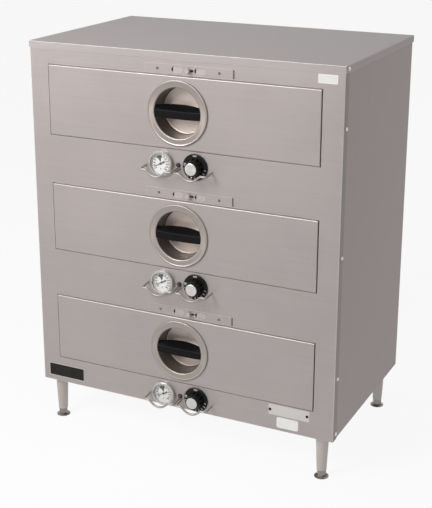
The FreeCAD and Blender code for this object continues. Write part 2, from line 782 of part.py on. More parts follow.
def make_foot(label, x, y):
    """A levelling foot: a flange on the floor, a hexagon to turn it and a stem inside the leg."""
    piece = Piece(label, x=x, y=FRONT_Y + y)
    top = size.foot_height - size.seat
    profile = piece.sketch("front")
    tread = size.foot_radius * 0.8
    stem_top = size.foot_height + size.foot_stem_length
    polygon(
        profile,
        (0, 0), (tread, 0), (size.foot_radius, size.foot_edge),
        (size.foot_radius, size.foot_flange - size.foot_edge), (tread, size.foot_flange),
        (size.foot_stem_radius, size.foot_flange), (size.foot_stem_radius, stem_top), (0, stem_top),
    )
    piece.revolve(profile, "V_Axis")
    hub = piece.sketch("top", size.foot_flange)
    hexagon(hub, as_size(0), as_size(0), size.foot_hub_radius)
    piece.pad(hub, top - size.foot_flange)


# Compartments and heaters

def make_liner(number):
    """A folded box, open at the front, with a flange that is fixed behind the front frame."""
    piece = station_piece(f"compartment_liner_{number + 1}", number)
    outer = OPENING_X + size.liner_wall
    low = LINER_FLOOR - size.liner_wall
    high = LINER_TOP + size.liner_wall
    flange = piece.sketch("front", size.skin)
    wide = outer + size.liner_flange
    rectangle(flange, -wide, wide, low, high + size.liner_flange)
    piece.pad(flange, size.liner_wall)
    box = piece.sketch("front", size.skin)
    rectangle(box, -outer, outer, low, high)
    piece.pad(box, LINER_DEPTH)
    inside = piece.sketch("front", size.skin)
    rectangle(inside, -OPENING_X, OPENING_X, LINER_FLOOR, LINER_TOP)
    piece.pocket(inside, LINER_DEPTH - size.liner_wall)
    leads = piece.sketch("front", size.skin + LINER_DEPTH - size.liner_wall)
    for side in (-1, 1):
        lead_z = LINER_FLOOR + size.heater_rise
        circle(leads, size.heater_leads * side, lead_z, size.heater_radius + size.seat)
    piece.pocket(leads, size.liner_wall)


def make_rod(corners, bends, radius):
    """A round rod along straight runs joined by tangent arcs, with a bend radius for each inner corner."""
    edges = []
    begin = corners[0]
    for before, corner, after, bend in zip(corners, corners[1:], corners[2:], bends):
        inward = (before - corner).normalize()
        outward = (after - corner).normalize()
        half_turn = (math.pi - inward.getAngle(outward)) / 2
        reach = bend * math.tan(half_turn)
        entry = corner + inward * reach
        leave = corner + outward * reach
        aside = (inward + outward).normalize()
        middle = corner + aside * (bend / math.cos(half_turn) - bend)
        edges.append(Part.LineSegment(begin, entry).toShape())
        edges.append(Part.Arc(entry, middle, leave).toShape())
        begin = leave
    edges.append(Part.LineSegment(begin, corners[-1]).toShape())
    path = Part.Wire(edges)
    along = corners[1] - corners[0]
    section = Part.Wire([Part.Circle(corners[0], along, radius).toShape()])
    return path.makePipeShell([section], True, True)


def point(x, y, z):
    return FreeCAD.Vector(as_size(x).value, as_size(y).value, as_size(z).value)


def add_feature(label, solids):
    """A sub-part whose solids are given in the first station's frame, repeated for every station."""
    item = doc.addObject("Part::Feature", label)
    item.Label = label
    copies = []
    for number in range(STATIONS):
        step = point(0, 0, -PITCH * number)
        copies += [solid.translated(step) for solid in solids]
    item.Shape = Part.makeCompound(copies)
    place(item, y=FRONT_Y, z=station_z(0))
    nodes.append(item)


def make_heating_elements():
    """A sheathed heater bent to one loop above each compartment's floor, held by four clips."""
    z = LINER_FLOOR + size.heater_rise
    side = OPENING_X - size.heater_side_margin
    lead = size.heater_leads
    rear = LINER_BACK - size.heater_back_margin
    end = size.skin + LINER_DEPTH
    corners = [
        point(-lead, end, z), point(-lead, rear, z), point(-side, rear, z),
        point(-side, size.heater_front, z), point(side, size.heater_front, z),
        point(side, rear, z), point(lead, rear, z), point(lead, end, z),
    ]
    bends = [size.heater_bend.value] * (len(corners) - 2)
    solids = [make_rod(corners, bends, size.heater_radius.value)]
    for x in (-side * 0.5, side * 0.5):
        for y in (size.heater_front, rear):
            solids.append(make_heater_clip(x, y))
    add_feature("heating_elements", solids)


def make_heater_clip(x, y):
    """A strap over the heater, with a foot on the compartment's floor on each side."""
    around = size.heater_radius + size.seat
    outer = around + size.clip_sheet
    foot = outer + size.clip_foot
    floor, top = 0, size.heater_rise + outer
    outline = [
        (-foot, floor), (-around, floor), (-around, top - size.clip_sheet), (around, top - size.clip_sheet),
        (around, floor), (foot, floor), (foot, size.clip_sheet), (outer, size.clip_sheet),
        (outer, top), (-outer, top), (-outer, size.clip_sheet), (-foot, size.clip_sheet),
    ]
    left = x - size.clip_width / 2
    corners = [point(left, y + across, LINER_FLOOR + up) for across, up in outline]
    face = Part.Face(Part.makePolygon(corners + corners[:1]))
    return face.extrude(point(size.clip_width, 0, 0))


# Drawer slides

def draw_channel(profile, web, tips, half_height):
    """A channel on its side, with its web at one x and the tips of its flanges at another."""
    sheet_x = size.slide_sheet if web.value < tips.value else -size.slide_sheet
    low, high = -half_height, half_height
    polygon(
        profile,
        (web, low), (tips, low), (tips, low + size.slide_sheet), (web + sheet_x, low + size.slide_sheet),
        (web + sheet_x, high - size.slide_sheet), (tips, high - size.slide_sheet), (tips, high), (web, high),
    )


RAIL_HALF = size.rail_height / 2
NESTING = size.slide_play + size.slide_sheet
MIDDLE_WEB = OPENING_X - NESTING


def make_slide_channels():
    """The cabinet's fixed slide channels, two for each drawer."""
    piece = station_piece("slide_channels")
    profile = piece.sketch("front", SLIDE_START, up=-size.slide_drop)
    draw_channel(profile, OPENING_X, CARRIAGE_X + size.slide_play, RAIL_HALF + 2 * NESTING)
    channel = piece.pad(profile, SLIDE_LENGTH)
    piece.grid([channel], ("Z", -PITCH, STATIONS), mirrored=True)


def make_slide_middle(number):
    """The middle members of one drawer's telescopic slides."""
    piece = station_piece(f"slide_middle_{number + 1}", number)
    profile = piece.sketch("front", SLIDE_START, up=-size.slide_drop)
    draw_channel(profile, MIDDLE_WEB, CARRIAGE_X + NESTING, RAIL_HALF + NESTING)
    member = piece.pad(profile, SLIDE_LENGTH)
    piece.mirror([member])


# Drawers

def make_drawer_front(number):
    """A hollow sheet front, open at its back, with a hole for the hand cup."""
    piece = station_piece(f"drawer_front_{number + 1}", number)
    face = -size.drawer_proud
    outline = piece.sketch("front", face)
    rectangle(outline, -DRAWER_X, DRAWER_X, -size.drawer_height, 0)
    piece.pad(outline, size.drawer_depth)
    piece.fillet(size.drawer_edge, lambda edge: lies_at(edge, "Y", face))
    inside = piece.sketch("front", DRAWER_BACK)
    half = DRAWER_X - size.skin
    rectangle(inside, -half, half, size.skin - size.drawer_height, -size.skin)
    piece.pocket(inside, size.drawer_depth - size.skin, ahead=-1)
    hole = piece.sketch("front", face)
    circle(hole, as_size(0), -size.drawer_height / 2, size.ring_opening + 2 * size.cup_sheet + size.seat)
    piece.pocket(hole, size.skin)


def make_handle_cup(number):
    """A pressed hand cup with a rounded ring that covers the hole in the drawer front."""
    piece = station_piece(f"handle_cup_{number + 1}", number, z=-size.drawer_height / 2, y=-size.drawer_proud)
    face = -size.ring_proud
    outside = size.cup_depth + size.cup_sheet
    profile = piece.sketch("side")
    polygon(
        profile,
        (0, RING_RADIUS), (face, RING_RADIUS - 0.6), (face, size.ring_opening),
        (size.cup_depth, size.cup_floor_radius), (size.cup_depth, 0),
        (outside, 0), (outside, size.cup_floor_radius + size.cup_sheet),
        (0, size.ring_opening + size.cup_sheet),
    )
    piece.revolve(profile)
    roundings = [
        (size.ring_round, face, RING_RADIUS - 0.6),
        (size.ring_lip_round, face, size.ring_opening),
        (size.cup_corner, size.cup_depth, size.cup_floor_radius),
    ]
    for rounding, y, radius in roundings:
        piece.fillet(rounding, lambda edge: lies_at(edge, "Y", y) and near(edge.Curve.Radius, radius))


def make_handle_bar(number):
    """A moulded grip across the cup, flush with its ring, bowed towards the back and higher there."""
    piece = station_piece(f"handle_bar_{number + 1}", number, z=-size.drawer_height / 2, y=-size.drawer_proud)
    front = -size.ring_proud
    back = front + size.bar_depth
    low = -size.bar_drop - size.bar_height / 2
    high = low + size.bar_height
    section = piece.sketch("side", -size.ring_opening)
    polygon(section, (front, low), (front, high), (back, high + size.bar_rise), (back, low + size.bar_rise))
    piece.pad(section, 2 * size.ring_opening)
    bow = piece.sketch("top", high + size.bar_rise + 1)
    draw_bow(bow, size.ring_opening, front + size.bar_end_depth, back)
    piece.pocket(bow, size.bar_height + size.bar_rise + 2, ahead=-1)
    slope = (size.ring_opening - size.cup_floor_radius) / (size.cup_depth + size.ring_proud)
    near_wall = size.ring_opening - size.seat
    far_wall = near_wall - slope * (size.bar_depth + 2)
    ends = piece.sketch("side")
    polygon(
        ends,
        (front - 1, near_wall + slope), (back + 1, far_wall + slope),
        (back + 1, RING_RADIUS), (front - 1, RING_RADIUS),
    )
    piece.groove(ends)

    def is_long_edge(edge):
        return edge.BoundBox.XLength > size.ring_opening.value

    piece.fillet(size.bar_edge, is_long_edge)


def draw_bow(profile, half, end_y, middle_y):
    """What lies behind an arc that joins two ends over a crown."""
    beyond = middle_y + 1
    crown = Part.Arc(vector(half, end_y), vector(0, middle_y), vector(-half, end_y))
    arc = profile.addGeometry(crown, False)
    ends = [(-half, end_y), (-half, beyond), (half, beyond), (half, end_y)]
    lines = []
    for begin, finish in zip(ends, ends[1:]):
        lines.append(profile.addGeometry(Part.LineSegment(vector(*begin), vector(*finish)), False))
        pin(profile, lines[-1], START, *begin)
    pin(profile, lines[-1], END, *ends[-1])
    for one, other in zip(lines, lines[1:]):
        profile.addConstraint(Sketcher.Constraint("Coincident", one, END, other, START))
    profile.addConstraint(Sketcher.Constraint("Coincident", lines[-1], END, arc, START))
    profile.addConstraint(Sketcher.Constraint("Coincident", arc, END, lines[0], START))
    rise = middle_y - end_y
    datum(profile, (half * half + rise * rise) / (2 * rise), "Radius", arc)


def make_carriage(number):
    """The carriage behind a drawer front, with its ledge for the pan, and the rails on its sides."""
    label = f"drawer_carriage_{number + 1}"
    frame = Piece(f"{label}_frame", y=FRONT_Y, z=station_z(number), is_node=False)
    top = -size.ledge_drop
    low = top - size.carriage_height
    tray = frame.sketch("top", low)
    rectangle(tray, -CARRIAGE_X, CARRIAGE_X, DRAWER_BACK, CARRIAGE_BACK)
    frame.pad(tray, size.carriage_height)
    hollow = frame.sketch("top", low)
    half = CARRIAGE_X - size.carriage_sheet
    rectangle(hollow, -half, half, DRAWER_BACK + size.carriage_sheet, CARRIAGE_BACK - size.carriage_sheet)
    frame.pocket(hollow, size.carriage_height - size.carriage_sheet)
    opening = frame.sketch("top", top)
    left, right, near_y, far_y = pan_body(-size.pan_clearance)
    rounded_rectangle(opening, left, right, near_y, far_y, size.pan_corner)
    frame.pocket(opening, size.carriage_sheet, ahead=-1)
    wall = frame.sketch("front", DRAWER_BACK)
    wide = DRAWER_X - COVER_FIT
    rectangle(wall, -wide, wide, COVER_FIT - size.drawer_height, -COVER_FIT)
    frame.pad(wall, size.carriage_sheet, ahead=-1)

    rails = Piece(f"{label}_rails", y=FRONT_Y, z=station_z(number), is_node=False)
    profile = rails.sketch("front", SLIDE_START, up=-size.slide_drop)
    draw_channel(profile, CARRIAGE_X, MIDDLE_WEB - NESTING, RAIL_HALF)
    rail = rails.pad(profile, SLIDE_LENGTH)
    rails.mirror([rail])

    carriage = doc.addObject("Part::Compound", label)
    carriage.Label = label
    carriage.Links = [frame.body, rails.body]
    nodes.append(carriage)


def pan_body(inset=0):
    """Left, right, front and back of the pan's mouth, made smaller by the inset."""
    margin = size.pan_rim + inset
    half = size.pan_length / 2 - margin
    return -half, half, PAN_FRONT + margin, PAN_FRONT + size.pan_width - margin


def fill_pan(piece, inset):
    """A solid in the shape of the pan's body, made smaller by the inset."""
    mouth = piece.sketch("top", PAN_TOP)
    rounded_rectangle(mouth, *pan_body(inset), size.pan_corner - inset)
    piece.pad(mouth, size.pan_depth - inset, ahead=-1, taper=-size.pan_draft)
    floor = PAN_TOP - size.pan_depth + inset
    piece.fillet(size.pan_floor_round - inset, lambda edge: lies_at(edge, "Z", floor))


def make_food_pan(number):
    """A drawn pan with sloping walls and a rim whose turned-down lip rests on the ledge."""
    piece = station_piece(f"food_pan_{number + 1}", number)
    inside = Piece(f"food_pan_{number + 1}_inside", is_node=False)
    fill_pan(piece, as_size(0))
    fill_pan(inside, size.pan_sheet)
    piece.hollow(inside)
    rim = piece.sketch("top", PAN_TOP)
    half = size.pan_length / 2
    back = PAN_FRONT + size.pan_width
    rounded_rectangle(rim, -half, half, PAN_FRONT, back, size.pan_rim_round)
    rounded_rectangle(rim, *pan_body(size.pan_sheet), size.pan_corner - size.pan_sheet)
    piece.pad(rim, size.pan_sheet, ahead=-1)
    lip = piece.sketch("top", PAN_TOP)
    rounded_rectangle(lip, -half, half, PAN_FRONT, back, size.pan_rim_round)
    inner = half - size.pan_sheet
    inner_round = size.pan_rim_round - size.pan_sheet
    rounded_rectangle(lip, -inner, inner, PAN_FRONT + size.pan_sheet, back - size.pan_sheet, inner_round)
    piece.pad(lip, size.pan_lip, ahead=-1)


# Vents

def make_vent_covers():
    """A cover plate over each vent, hooked into a slot of the front frame at its right end."""
    piece = station_piece("vent_covers")
    left = size.vent_offset - size.vent_cover_length / 2
    right = size.vent_offset + size.vent_cover_length / 2
    low = size.vent_rise - size.vent_cover_height / 2
    high = low + size.vent_cover_height
    plate = piece.sketch("front")
    rectangle(plate, left, right, low, high)
    draw_vent_holes(plate, with_tab_slot=False)
    cover = piece.pad(plate, size.vent_cover_sheet, ahead=-1)
    hook = piece.sketch("front")
    inset = size.vent_cover_sheet + size.lap
    rectangle(hook, right - size.vent_cover_sheet, right, low + inset, high - inset)
    tab = piece.pad(hook, size.skin + size.cover_flange / 5)
    piece.row([cover, tab], "Z", -PITCH, STATIONS)


def make_vent_shutter(number):
    """A shutter behind the front frame, guided by the vent's two screws, and moved by a button in front."""
    piece = station_piece(f"vent_shutter_{number + 1}", number, x=size.vent_offset, z=size.vent_rise)
    near_y = size.skin + size.seat
    half = size.shutter_length / 2
    half_height = size.shutter_height / 2
    plate = piece.sketch("front", near_y)
    rectangle(plate, -half, half, -half_height, half_height)
    hole_radius = (size.shutter_open + size.shutter_travel) / 2
    guide = size.vent_screw_radius + size.seat
    travel = size.shutter_open + size.shutter_travel
    for side in (-1, 1):
        window_left = size.window_pitch / 2 * side - size.window_length / 2
        circle(plate, window_left + size.shutter_open - hole_radius, as_size(0), hole_radius)
        screw = size.vent_screw_pitch / 2 * side
        shift = (size.shutter_open - size.shutter_travel) / 2
        slot(plate, screw + shift, as_size(0), travel + 2 * guide, guide)
    piece.pad(plate, size.shutter_sheet)
    face = -size.vent_cover_sheet
    stem = piece.sketch("side", up=0, right=0, at=size.stem_offset)
    front = face - size.button_stand
    tip = front - size.button_height
    polygon(
        stem,
        (near_y, 0), (near_y, size.stem_radius), (front, size.stem_radius), (front, size.button_radius),
        (tip + size.button_edge, size.button_radius), (tip, size.button_radius - size.button_edge), (tip, 0),
    )
    piece.revolve(stem)


# Controls

def make_thermometer_cases():
    """The bezel and can of each dial thermometer, with seats for its dial and lens."""
    piece = station_piece("thermometer_cases")
    profile = piece.sketch("side", -size.control_offset, up=CONTROL_Z)
    front = -size.bezel_proud
    dial_back = front + size.dial_setback + size.dial_thickness
    lens_front = front + size.lens_lip
    back = size.can_depth
    polygon(
        profile,
        (0, size.bezel_radius), (front + size.bezel_edge, size.bezel_radius),
        (front, size.bezel_radius - size.bezel_edge), (front, size.bezel_lip), (lens_front, size.bezel_lip),
        (lens_front, size.can_inside), (dial_back, size.can_inside), (dial_back, size.bezel_lip),
        (back - size.dial_thickness, size.bezel_lip), (back - size.dial_thickness, 0), (back, 0),
        (back, size.can_radius), (0, size.can_radius),
    )
    case = piece.revolve(profile)
    piece.row([case], "Z", -PITCH, STATIONS)


def make_disc_row(label, front, thickness, bore=None):
    """One round plate inside each thermometer, from its front face back."""
    piece = station_piece(label)
    profile = piece.sketch("front", front, right=-size.control_offset, up=CONTROL_Z)
    circle(profile, as_size(0), as_size(0), size.can_inside - size.lap)
    if bore is not None:
        circle(profile, as_size(0), as_size(0), bore)
    disc = piece.pad(profile, thickness)
    piece.row([disc], "Z", -PITCH, STATIONS)


def make_needle(number):
    """A thermometer's needle with its broad tail, its hub and the spindle that turns in the can."""
    piece = station_piece(f"thermometer_needle_{number + 1}", number, x=-size.control_offset, z=CONTROL_Z)
    axis = FreeCAD.Rotation(FreeCAD.Vector(0, 1, 0), size.needle_angle.value)
    piece.body.Placement = FreeCAD.Placement(piece.body.Placement.Base, axis)
    bind(piece.body, "Placement.Rotation.Angle", size.needle_angle)
    dial = size.dial_setback - size.bezel_proud
    back = dial - size.needle_stand
    pointer = piece.sketch("front", back)
    wide = size.needle_width / 2
    point_half = wide * 0.3
    waist = -size.needle_tail / 3
    tail = size.needle_tail_width / 2
    polygon(
        pointer,
        (-point_half, size.needle_length), (-wide, 0), (-wide, waist), (-tail, -size.needle_tail),
        (tail, -size.needle_tail), (wide, waist), (wide, 0), (point_half, size.needle_length),
    )
    piece.pad(pointer, size.needle_thickness, ahead=-1)
    hub = piece.sketch("side")
    tip = back - size.needle_thickness - size.lap
    end = size.can_depth - size.dial_thickness - size.seat
    polygon(
        hub,
        (tip, 0), (tip, size.needle_hub_radius), (back, size.needle_hub_radius),
        (back, size.needle_spindle_radius), (end, size.needle_spindle_radius), (end, 0),
    )
    piece.revolve(hub)


def make_pilot_lights():
    """A domed lamp between the thermometer and the knob of each station."""
    piece = station_piece("pilot_lights")
    profile = piece.sketch("side", up=CONTROL_Z)
    collar = -size.pilot_proud * 0.3
    shoulder = -size.pilot_proud * 0.72
    polygon(
        profile,
        (size.pilot_depth, 0), (size.pilot_depth, size.pilot_body_radius), (0, size.pilot_body_radius),
        (0, size.pilot_radius), (collar, size.pilot_radius), (collar, size.pilot_body_radius),
        (shoulder, size.pilot_body_radius * 0.86), (-size.pilot_proud, size.pilot_body_radius * 0.4),
        (-size.pilot_proud, 0),
    )
    lamp = piece.revolve(profile)
    piece.row([lamp], "Z", -PITCH, STATIONS)


def make_thermostats():
    """The thermostat behind each knob, with its bush through the front frame and two terminal lugs."""
    piece = station_piece("thermostats")
    half = size.thermostat_width / 2
    middle = size.control_offset
    housing = piece.sketch("front", size.skin)
    rectangle(housing, middle - half, middle + half, CONTROL_Z - half, CONTROL_Z + half)
    features = [piece.pad(housing, size.thermostat_depth)]
    bush = piece.sketch("front", size.skin)
    circle(bush, middle, CONTROL_Z, size.bush_radius)
    features.append(piece.pad(bush, size.skin + size.knob_stand - size.seat, ahead=-1))
    lugs = piece.sketch("front", size.skin + size.thermostat_depth)
    for side in (-1, 1):
        lug = middle + size.lug_pitch / 2 * side
        edge = size.lug_width / 2
        rectangle(lugs, lug - edge, lug + edge, CONTROL_Z, CONTROL_Z + size.dial_thickness)
    features.append(piece.pad(lugs, size.lug_length))
    bore = piece.sketch("front", -size.knob_stand)
    circle(bore, middle, CONTROL_Z, size.shaft_radius + size.running)
    features.append(piece.pocket(bore, size.knob_stand + size.shaft_depth + size.seat))
    piece.row(features, "Z", -PITCH, STATIONS)


def control_piece(label, number):
    return station_piece(f"{label}_{number + 1}", number, x=size.control_offset, z=CONTROL_Z)


def make_knob(number):
    """A moulded knob: a round skirt, a tapering grip with flutes and a seat for its bright disc."""
    piece = control_piece("control_knob", number)
    back = -size.knob_stand
    skirt = back - size.knob_skirt_thickness
    front = -size.knob_height
    seat = front + size.cap_thickness
    bore = size.shaft_radius + size.running
    profile = piece.sketch("side")
    polygon(
        profile,
        (back, bore), (back, size.knob_skirt_radius), (skirt + 1, size.knob_skirt_radius),
        (skirt, size.knob_skirt_radius - 1.4), (skirt, size.knob_base_radius),
        (front + 1, size.knob_top_radius), (front, size.knob_top_radius - 1),
        (front, size.cap_radius + size.lap), (seat, size.cap_radius + size.lap), (seat, 0),
        (-size.shaft_reach - size.seat, 0),
        (-size.shaft_reach - size.seat, bore),
    )
    piece.revolve(profile)
    flute = piece.sketch("front", front - 1)
    circle(flute, as_size(0), size.knob_base_radius - size.flute_depth + size.flute_radius, size.flute_radius)
    cut = piece.pocket(flute, size.knob_height - size.knob_stand - size.knob_skirt_thickness + 1)
    piece.ring([cut], "Y", 12)


def make_knob_cap(number):
    """The bright disc in a knob's front."""
    piece = control_piece("knob_cap", number)
    profile = piece.sketch("side")
    front = -size.knob_height
    polygon(
        profile,
        (front + size.cap_thickness, 0), (front + size.cap_thickness, size.cap_radius),
        (front, size.cap_radius), (front - 0.4, size.cap_radius - 0.8), (front - 0.4, 0),
    )
    piece.revolve(profile)


def make_control_shaft(number):
    """The thermostat's shaft, which the knob turns."""
    piece = control_piece("control_shaft", number)
    profile = piece.sketch("front", -size.shaft_reach)
    circle(profile, as_size(0), as_size(0), size.shaft_radius)
    piece.pad(profile, size.shaft_reach + size.shaft_depth)


def make_wire_guards():
    """Two bent wires under each station's controls, with their legs welded to the front frame."""
    half = size.guard_span / 2
    front = size.guard_wire / 2 - size.guard_reach
    shoulder = half - size.guard_shoulder
    z = CONTROL_Z - size.guard_drop
    bends = [size.guard_corner, size.guard_shoulder_bend, size.guard_bow_bend]
    bends = [bend.value for bend in bends + bends[1::-1]]
    guards = []
    for middle in (-size.guard_offset, size.guard_offset):
        corners = [
            point(middle - half, 0, z), point(middle - half, front, z), point(middle - shoulder, front, z),
            point(middle, front, z - size.guard_dip),
            point(middle + shoulder, front, z), point(middle + half, front, z), point(middle + half, 0, z),
        ]
        guards.append(make_rod(corners, bends, size.guard_wire.value / 2))
    add_feature("wire_guards", guards)


# Fasteners, insulation and supply

def draw_screw(profile, face, outward, head, head_radius, shank_radius, length):
    """Half a screw with a domed head that seats on a face, its shank pointing away from outward."""
    low = head_radius * 0.66
    polygon(
        profile,
        (face - length * outward, 0), (face - length * outward, shank_radius), (face, shank_radius),
        (face, head_radius), (face + head * 0.45 * outward, head_radius * 0.93),
        (face + head * outward, low), (face + head * outward, 0),
    )


def make_case_screws():
    """Every screw of the casing and the vents, and the nuts on the vents' screws and the legs' studs."""
    piece = cabinet_piece("case_screws")
    case_screw = (1, size.screw_head, size.screw_head_radius, size.screw_radius, size.screw_length)
    cover_z, *panel_heights = side_screw_heights()
    side_screws = []
    for face, z in [(HALF_WIDTH, cover_z)] + [(CASING_X, height) for height in panel_heights]:
        profile = piece.sketch("front", size.side_screw_setback, up=z)
        draw_screw(profile, face, *case_screw)
        side_screws.append(piece.revolve(profile))
    piece.mirror(side_screws)
    back_screws = []
    for z in back_screw_heights():
        profile = piece.sketch("side", BACK_SCREW_X, up=z)
        draw_screw(profile, CASING_DEPTH, *case_screw)
        back_screws.append(piece.revolve(profile))
    piece.mirror(back_screws)

    cover_face = -size.vent_cover_sheet
    nut_face = size.skin + 2 * size.seat + size.shutter_sheet
    shank = nut_face + size.vent_nut_height - cover_face
    left = size.vent_offset - size.vent_screw_pitch / 2
    level = size.vent_rise - size.drawer_drop
    vent = piece.sketch("side", left, up=level)
    vent_screw = (-1, size.vent_screw_head, size.vent_screw_head_radius, size.vent_screw_radius, shank)
    draw_screw(vent, cover_face, *vent_screw)
    nut = piece.sketch("front", nut_face)
    hexagon(nut, left, level, size.vent_nut_radius)
    fixed = [piece.revolve(vent), piece.pad(nut, size.vent_nut_height)]
    piece.grid(fixed, ("X", size.vent_screw_pitch, 2), ("Z", -PITCH, STATIONS))

    (x, front), (far_x, _), (_, back), _ = leg_places()
    leg_nut = piece.sketch("top", size.skin - CABINET_HEIGHT)
    hexagon(leg_nut, x, front, size.nut_radius)
    circle(leg_nut, x, front, size.stud_radius + size.lap)
    piece.grid([piece.pad(leg_nut, size.nut_height)], ("X", far_x - x, 2), ("Y", back - front, 2))


def make_insulation():
    """Blankets over, beside and behind the compartments."""
    piece = cabinet_piece("insulation")
    gap = size.insulation_gap
    near_x = OPENING_X + size.liner_wall + gap
    far_x = PANEL_X - size.skin - size.insulation_side_margin
    far_y = BACK_INSIDE - size.insulation_back_margin
    liner_back = size.skin + LINER_DEPTH + gap
    roof = LINER_TOP + size.liner_wall + size.liner_flange - size.drawer_drop
    over = LINER_TOP + size.liner_wall + gap - size.drawer_drop
    top = piece.sketch("top", over)
    rectangle(top, -far_x, far_x, size.insulation_front, far_y)
    piece.pad(top, -over - size.skin - gap)
    behind = piece.sketch("top", LOWEST_LINER)
    rectangle(behind, -far_x, far_x, liner_back, far_y)
    height = over - gap - LOWEST_LINER
    piece.pad(behind, height)
    beside = piece.sketch("top", LOWEST_LINER)
    rectangle(beside, near_x, far_x, size.insulation_front, liner_back - gap)
    blanket = piece.pad(beside, height)
    piece.mirror([blanket])


def make_cord_bushing():
    """The bushing that lines the back panel's hole for the supply cable."""
    piece = cabinet_piece("cord_bushing")
    profile = piece.sketch("side", INLET_X, up=size.inlet_height - CABINET_HEIGHT)
    body = size.inlet_hole - size.lap
    inside = BACK_INSIDE - size.bushing_length
    polygon(
        profile,
        (CASING_DEPTH + size.bushing_flange_thickness, size.bushing_bore),
        (CASING_DEPTH + size.bushing_flange_thickness, size.bushing_flange - 1),
        (CASING_DEPTH, size.bushing_flange), (CASING_DEPTH, body), (inside, body),
        (inside, size.bushing_bore),
    )
    piece.revolve(profile)


def make_terminal_block():
    """The block on the base pan where the supply cable is connected."""
    piece = Piece("terminal_block", y=FRONT_Y, z=size.leg_height + size.skin)
    back = CASING_DEPTH - size.block_setback
    middle = INLET_X - size.block_length
    half = size.block_length / 2
    outline = piece.sketch("top")
    rectangle(outline, middle - half, middle + half, back - size.block_depth, back)
    piece.pad(outline, size.block_height)
    well = piece.sketch("top", size.block_height)
    first = middle - size.block_pitch
    well_half = size.block_well / 2
    wall = size.block_depth / 6
    rectangle(well, first - well_half, first + well_half, back - size.block_depth + wall, back - wall)
    cut = piece.pocket(well, size.block_well_depth, ahead=-1)
    piece.row([cut], "X", size.block_pitch, 3)


def build():
    fill_sheet()
    make_top_cover()
    make_front_frame()
    make_side_panel("left_side_panel", -1)
    make_side_panel("right_side_panel", 1)
    make_back_panel()
    make_base_pan()
    make_legs()
    for label, where in zip(("front_left", "front_right", "back_left", "back_right"), leg_places()):
        make_foot(f"foot_{label}", *where)
    make_case_screws()
    make_insulation()
    make_cord_bushing()
    make_terminal_block()
    make_heating_elements()
    make_slide_channels()
    make_vent_covers()
    make_thermometer_cases()
    dial = size.dial_setback - size.bezel_proud
    make_disc_row("thermometer_dials", dial, size.dial_thickness, size.needle_spindle_radius + size.seat)
    make_disc_row("thermometer_lenses", size.lens_lip - size.bezel_proud, size.lens_thickness)
    make_pilot_lights()
    make_thermostats()
    make_wire_guards()
    for number in range(STATIONS):
        make_liner(number)
        make_slide_middle(number)
        make_carriage(number)
        make_drawer_front(number)
        make_handle_cup(number)
        make_handle_bar(number)
        make_food_pan(number)
        make_vent_shutter(number)
        make_needle(number)
        make_knob(number)
        make_knob_cap(number)
        make_control_shaft(number)
    doc.recompute()


def check():
    """Stops if an object failed, a cut removed nothing or a sub-part has no valid solid."""
    for item in doc.Objects:
        if "Invalid" in item.State or "Error" in item.State:
            raise RuntimeError(f"{item.Label} failed: {item.State}")
    for base, cut in cuts:
        if cut.Shape.Volume > base.Shape.Volume - 0.001:
            raise RuntimeError(f"{cut.Label} of {cut.getParentGeoFeatureGroup().Label} removes nothing")
    for node in nodes:
        if node.Shape.isNull() or not node.Shape.isValid() or not node.Shape.Solids:
            raise RuntimeError(f"{node.Label} is not a valid solid")


def export():
    os.makedirs("parts", exist_ok=True)
    for node in nodes:
        node.Shape.exportStep(f"parts/{node.Label}.step")
        print(node.Label, len(node.Shape.Solids), "solids")


build()
check()
export()
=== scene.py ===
"""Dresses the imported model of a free-standing food warmer with its finishes, marks and plates."""

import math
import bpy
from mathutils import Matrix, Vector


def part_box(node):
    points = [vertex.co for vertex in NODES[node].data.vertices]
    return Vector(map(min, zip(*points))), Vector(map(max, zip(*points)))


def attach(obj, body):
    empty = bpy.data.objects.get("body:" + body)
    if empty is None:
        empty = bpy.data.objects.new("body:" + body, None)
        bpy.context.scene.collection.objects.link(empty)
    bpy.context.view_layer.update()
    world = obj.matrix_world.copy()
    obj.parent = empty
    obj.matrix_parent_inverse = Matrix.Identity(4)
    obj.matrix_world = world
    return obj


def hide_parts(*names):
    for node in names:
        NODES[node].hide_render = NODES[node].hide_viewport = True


bl_info = {
    "name": "Food Warmer",
    "version": (1, 0, 0),
    "blender": (4, 5, 0),
    "location": "View3D > Sidebar > Food Warmer",
    "description": "Finishes, dial marks, plates and a studio for a warmer with three heated drawers",
    "category": "Object",
}

import bmesh
import bpy
from bpy.props import FloatProperty, FloatVectorProperty, PointerProperty
from mathutils import Matrix, Vector

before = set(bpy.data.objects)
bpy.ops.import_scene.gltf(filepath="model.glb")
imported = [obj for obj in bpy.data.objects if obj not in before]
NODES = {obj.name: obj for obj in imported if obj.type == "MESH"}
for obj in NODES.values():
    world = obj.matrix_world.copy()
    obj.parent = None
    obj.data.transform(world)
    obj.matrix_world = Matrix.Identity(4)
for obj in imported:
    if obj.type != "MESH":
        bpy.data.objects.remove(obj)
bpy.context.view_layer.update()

STATIONS = (1, 2, 3)

# Places that come from the frame

COVER_LOW, COVER_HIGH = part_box("top_cover")
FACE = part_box("front_frame")[0].y
CABINET_LEFT = COVER_LOW.x
CABINET_TOP = COVER_HIGH.z


def middle(node):
    """The middle of a node's box."""
    low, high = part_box(node)
    return (low + high) / 2


# Node trees


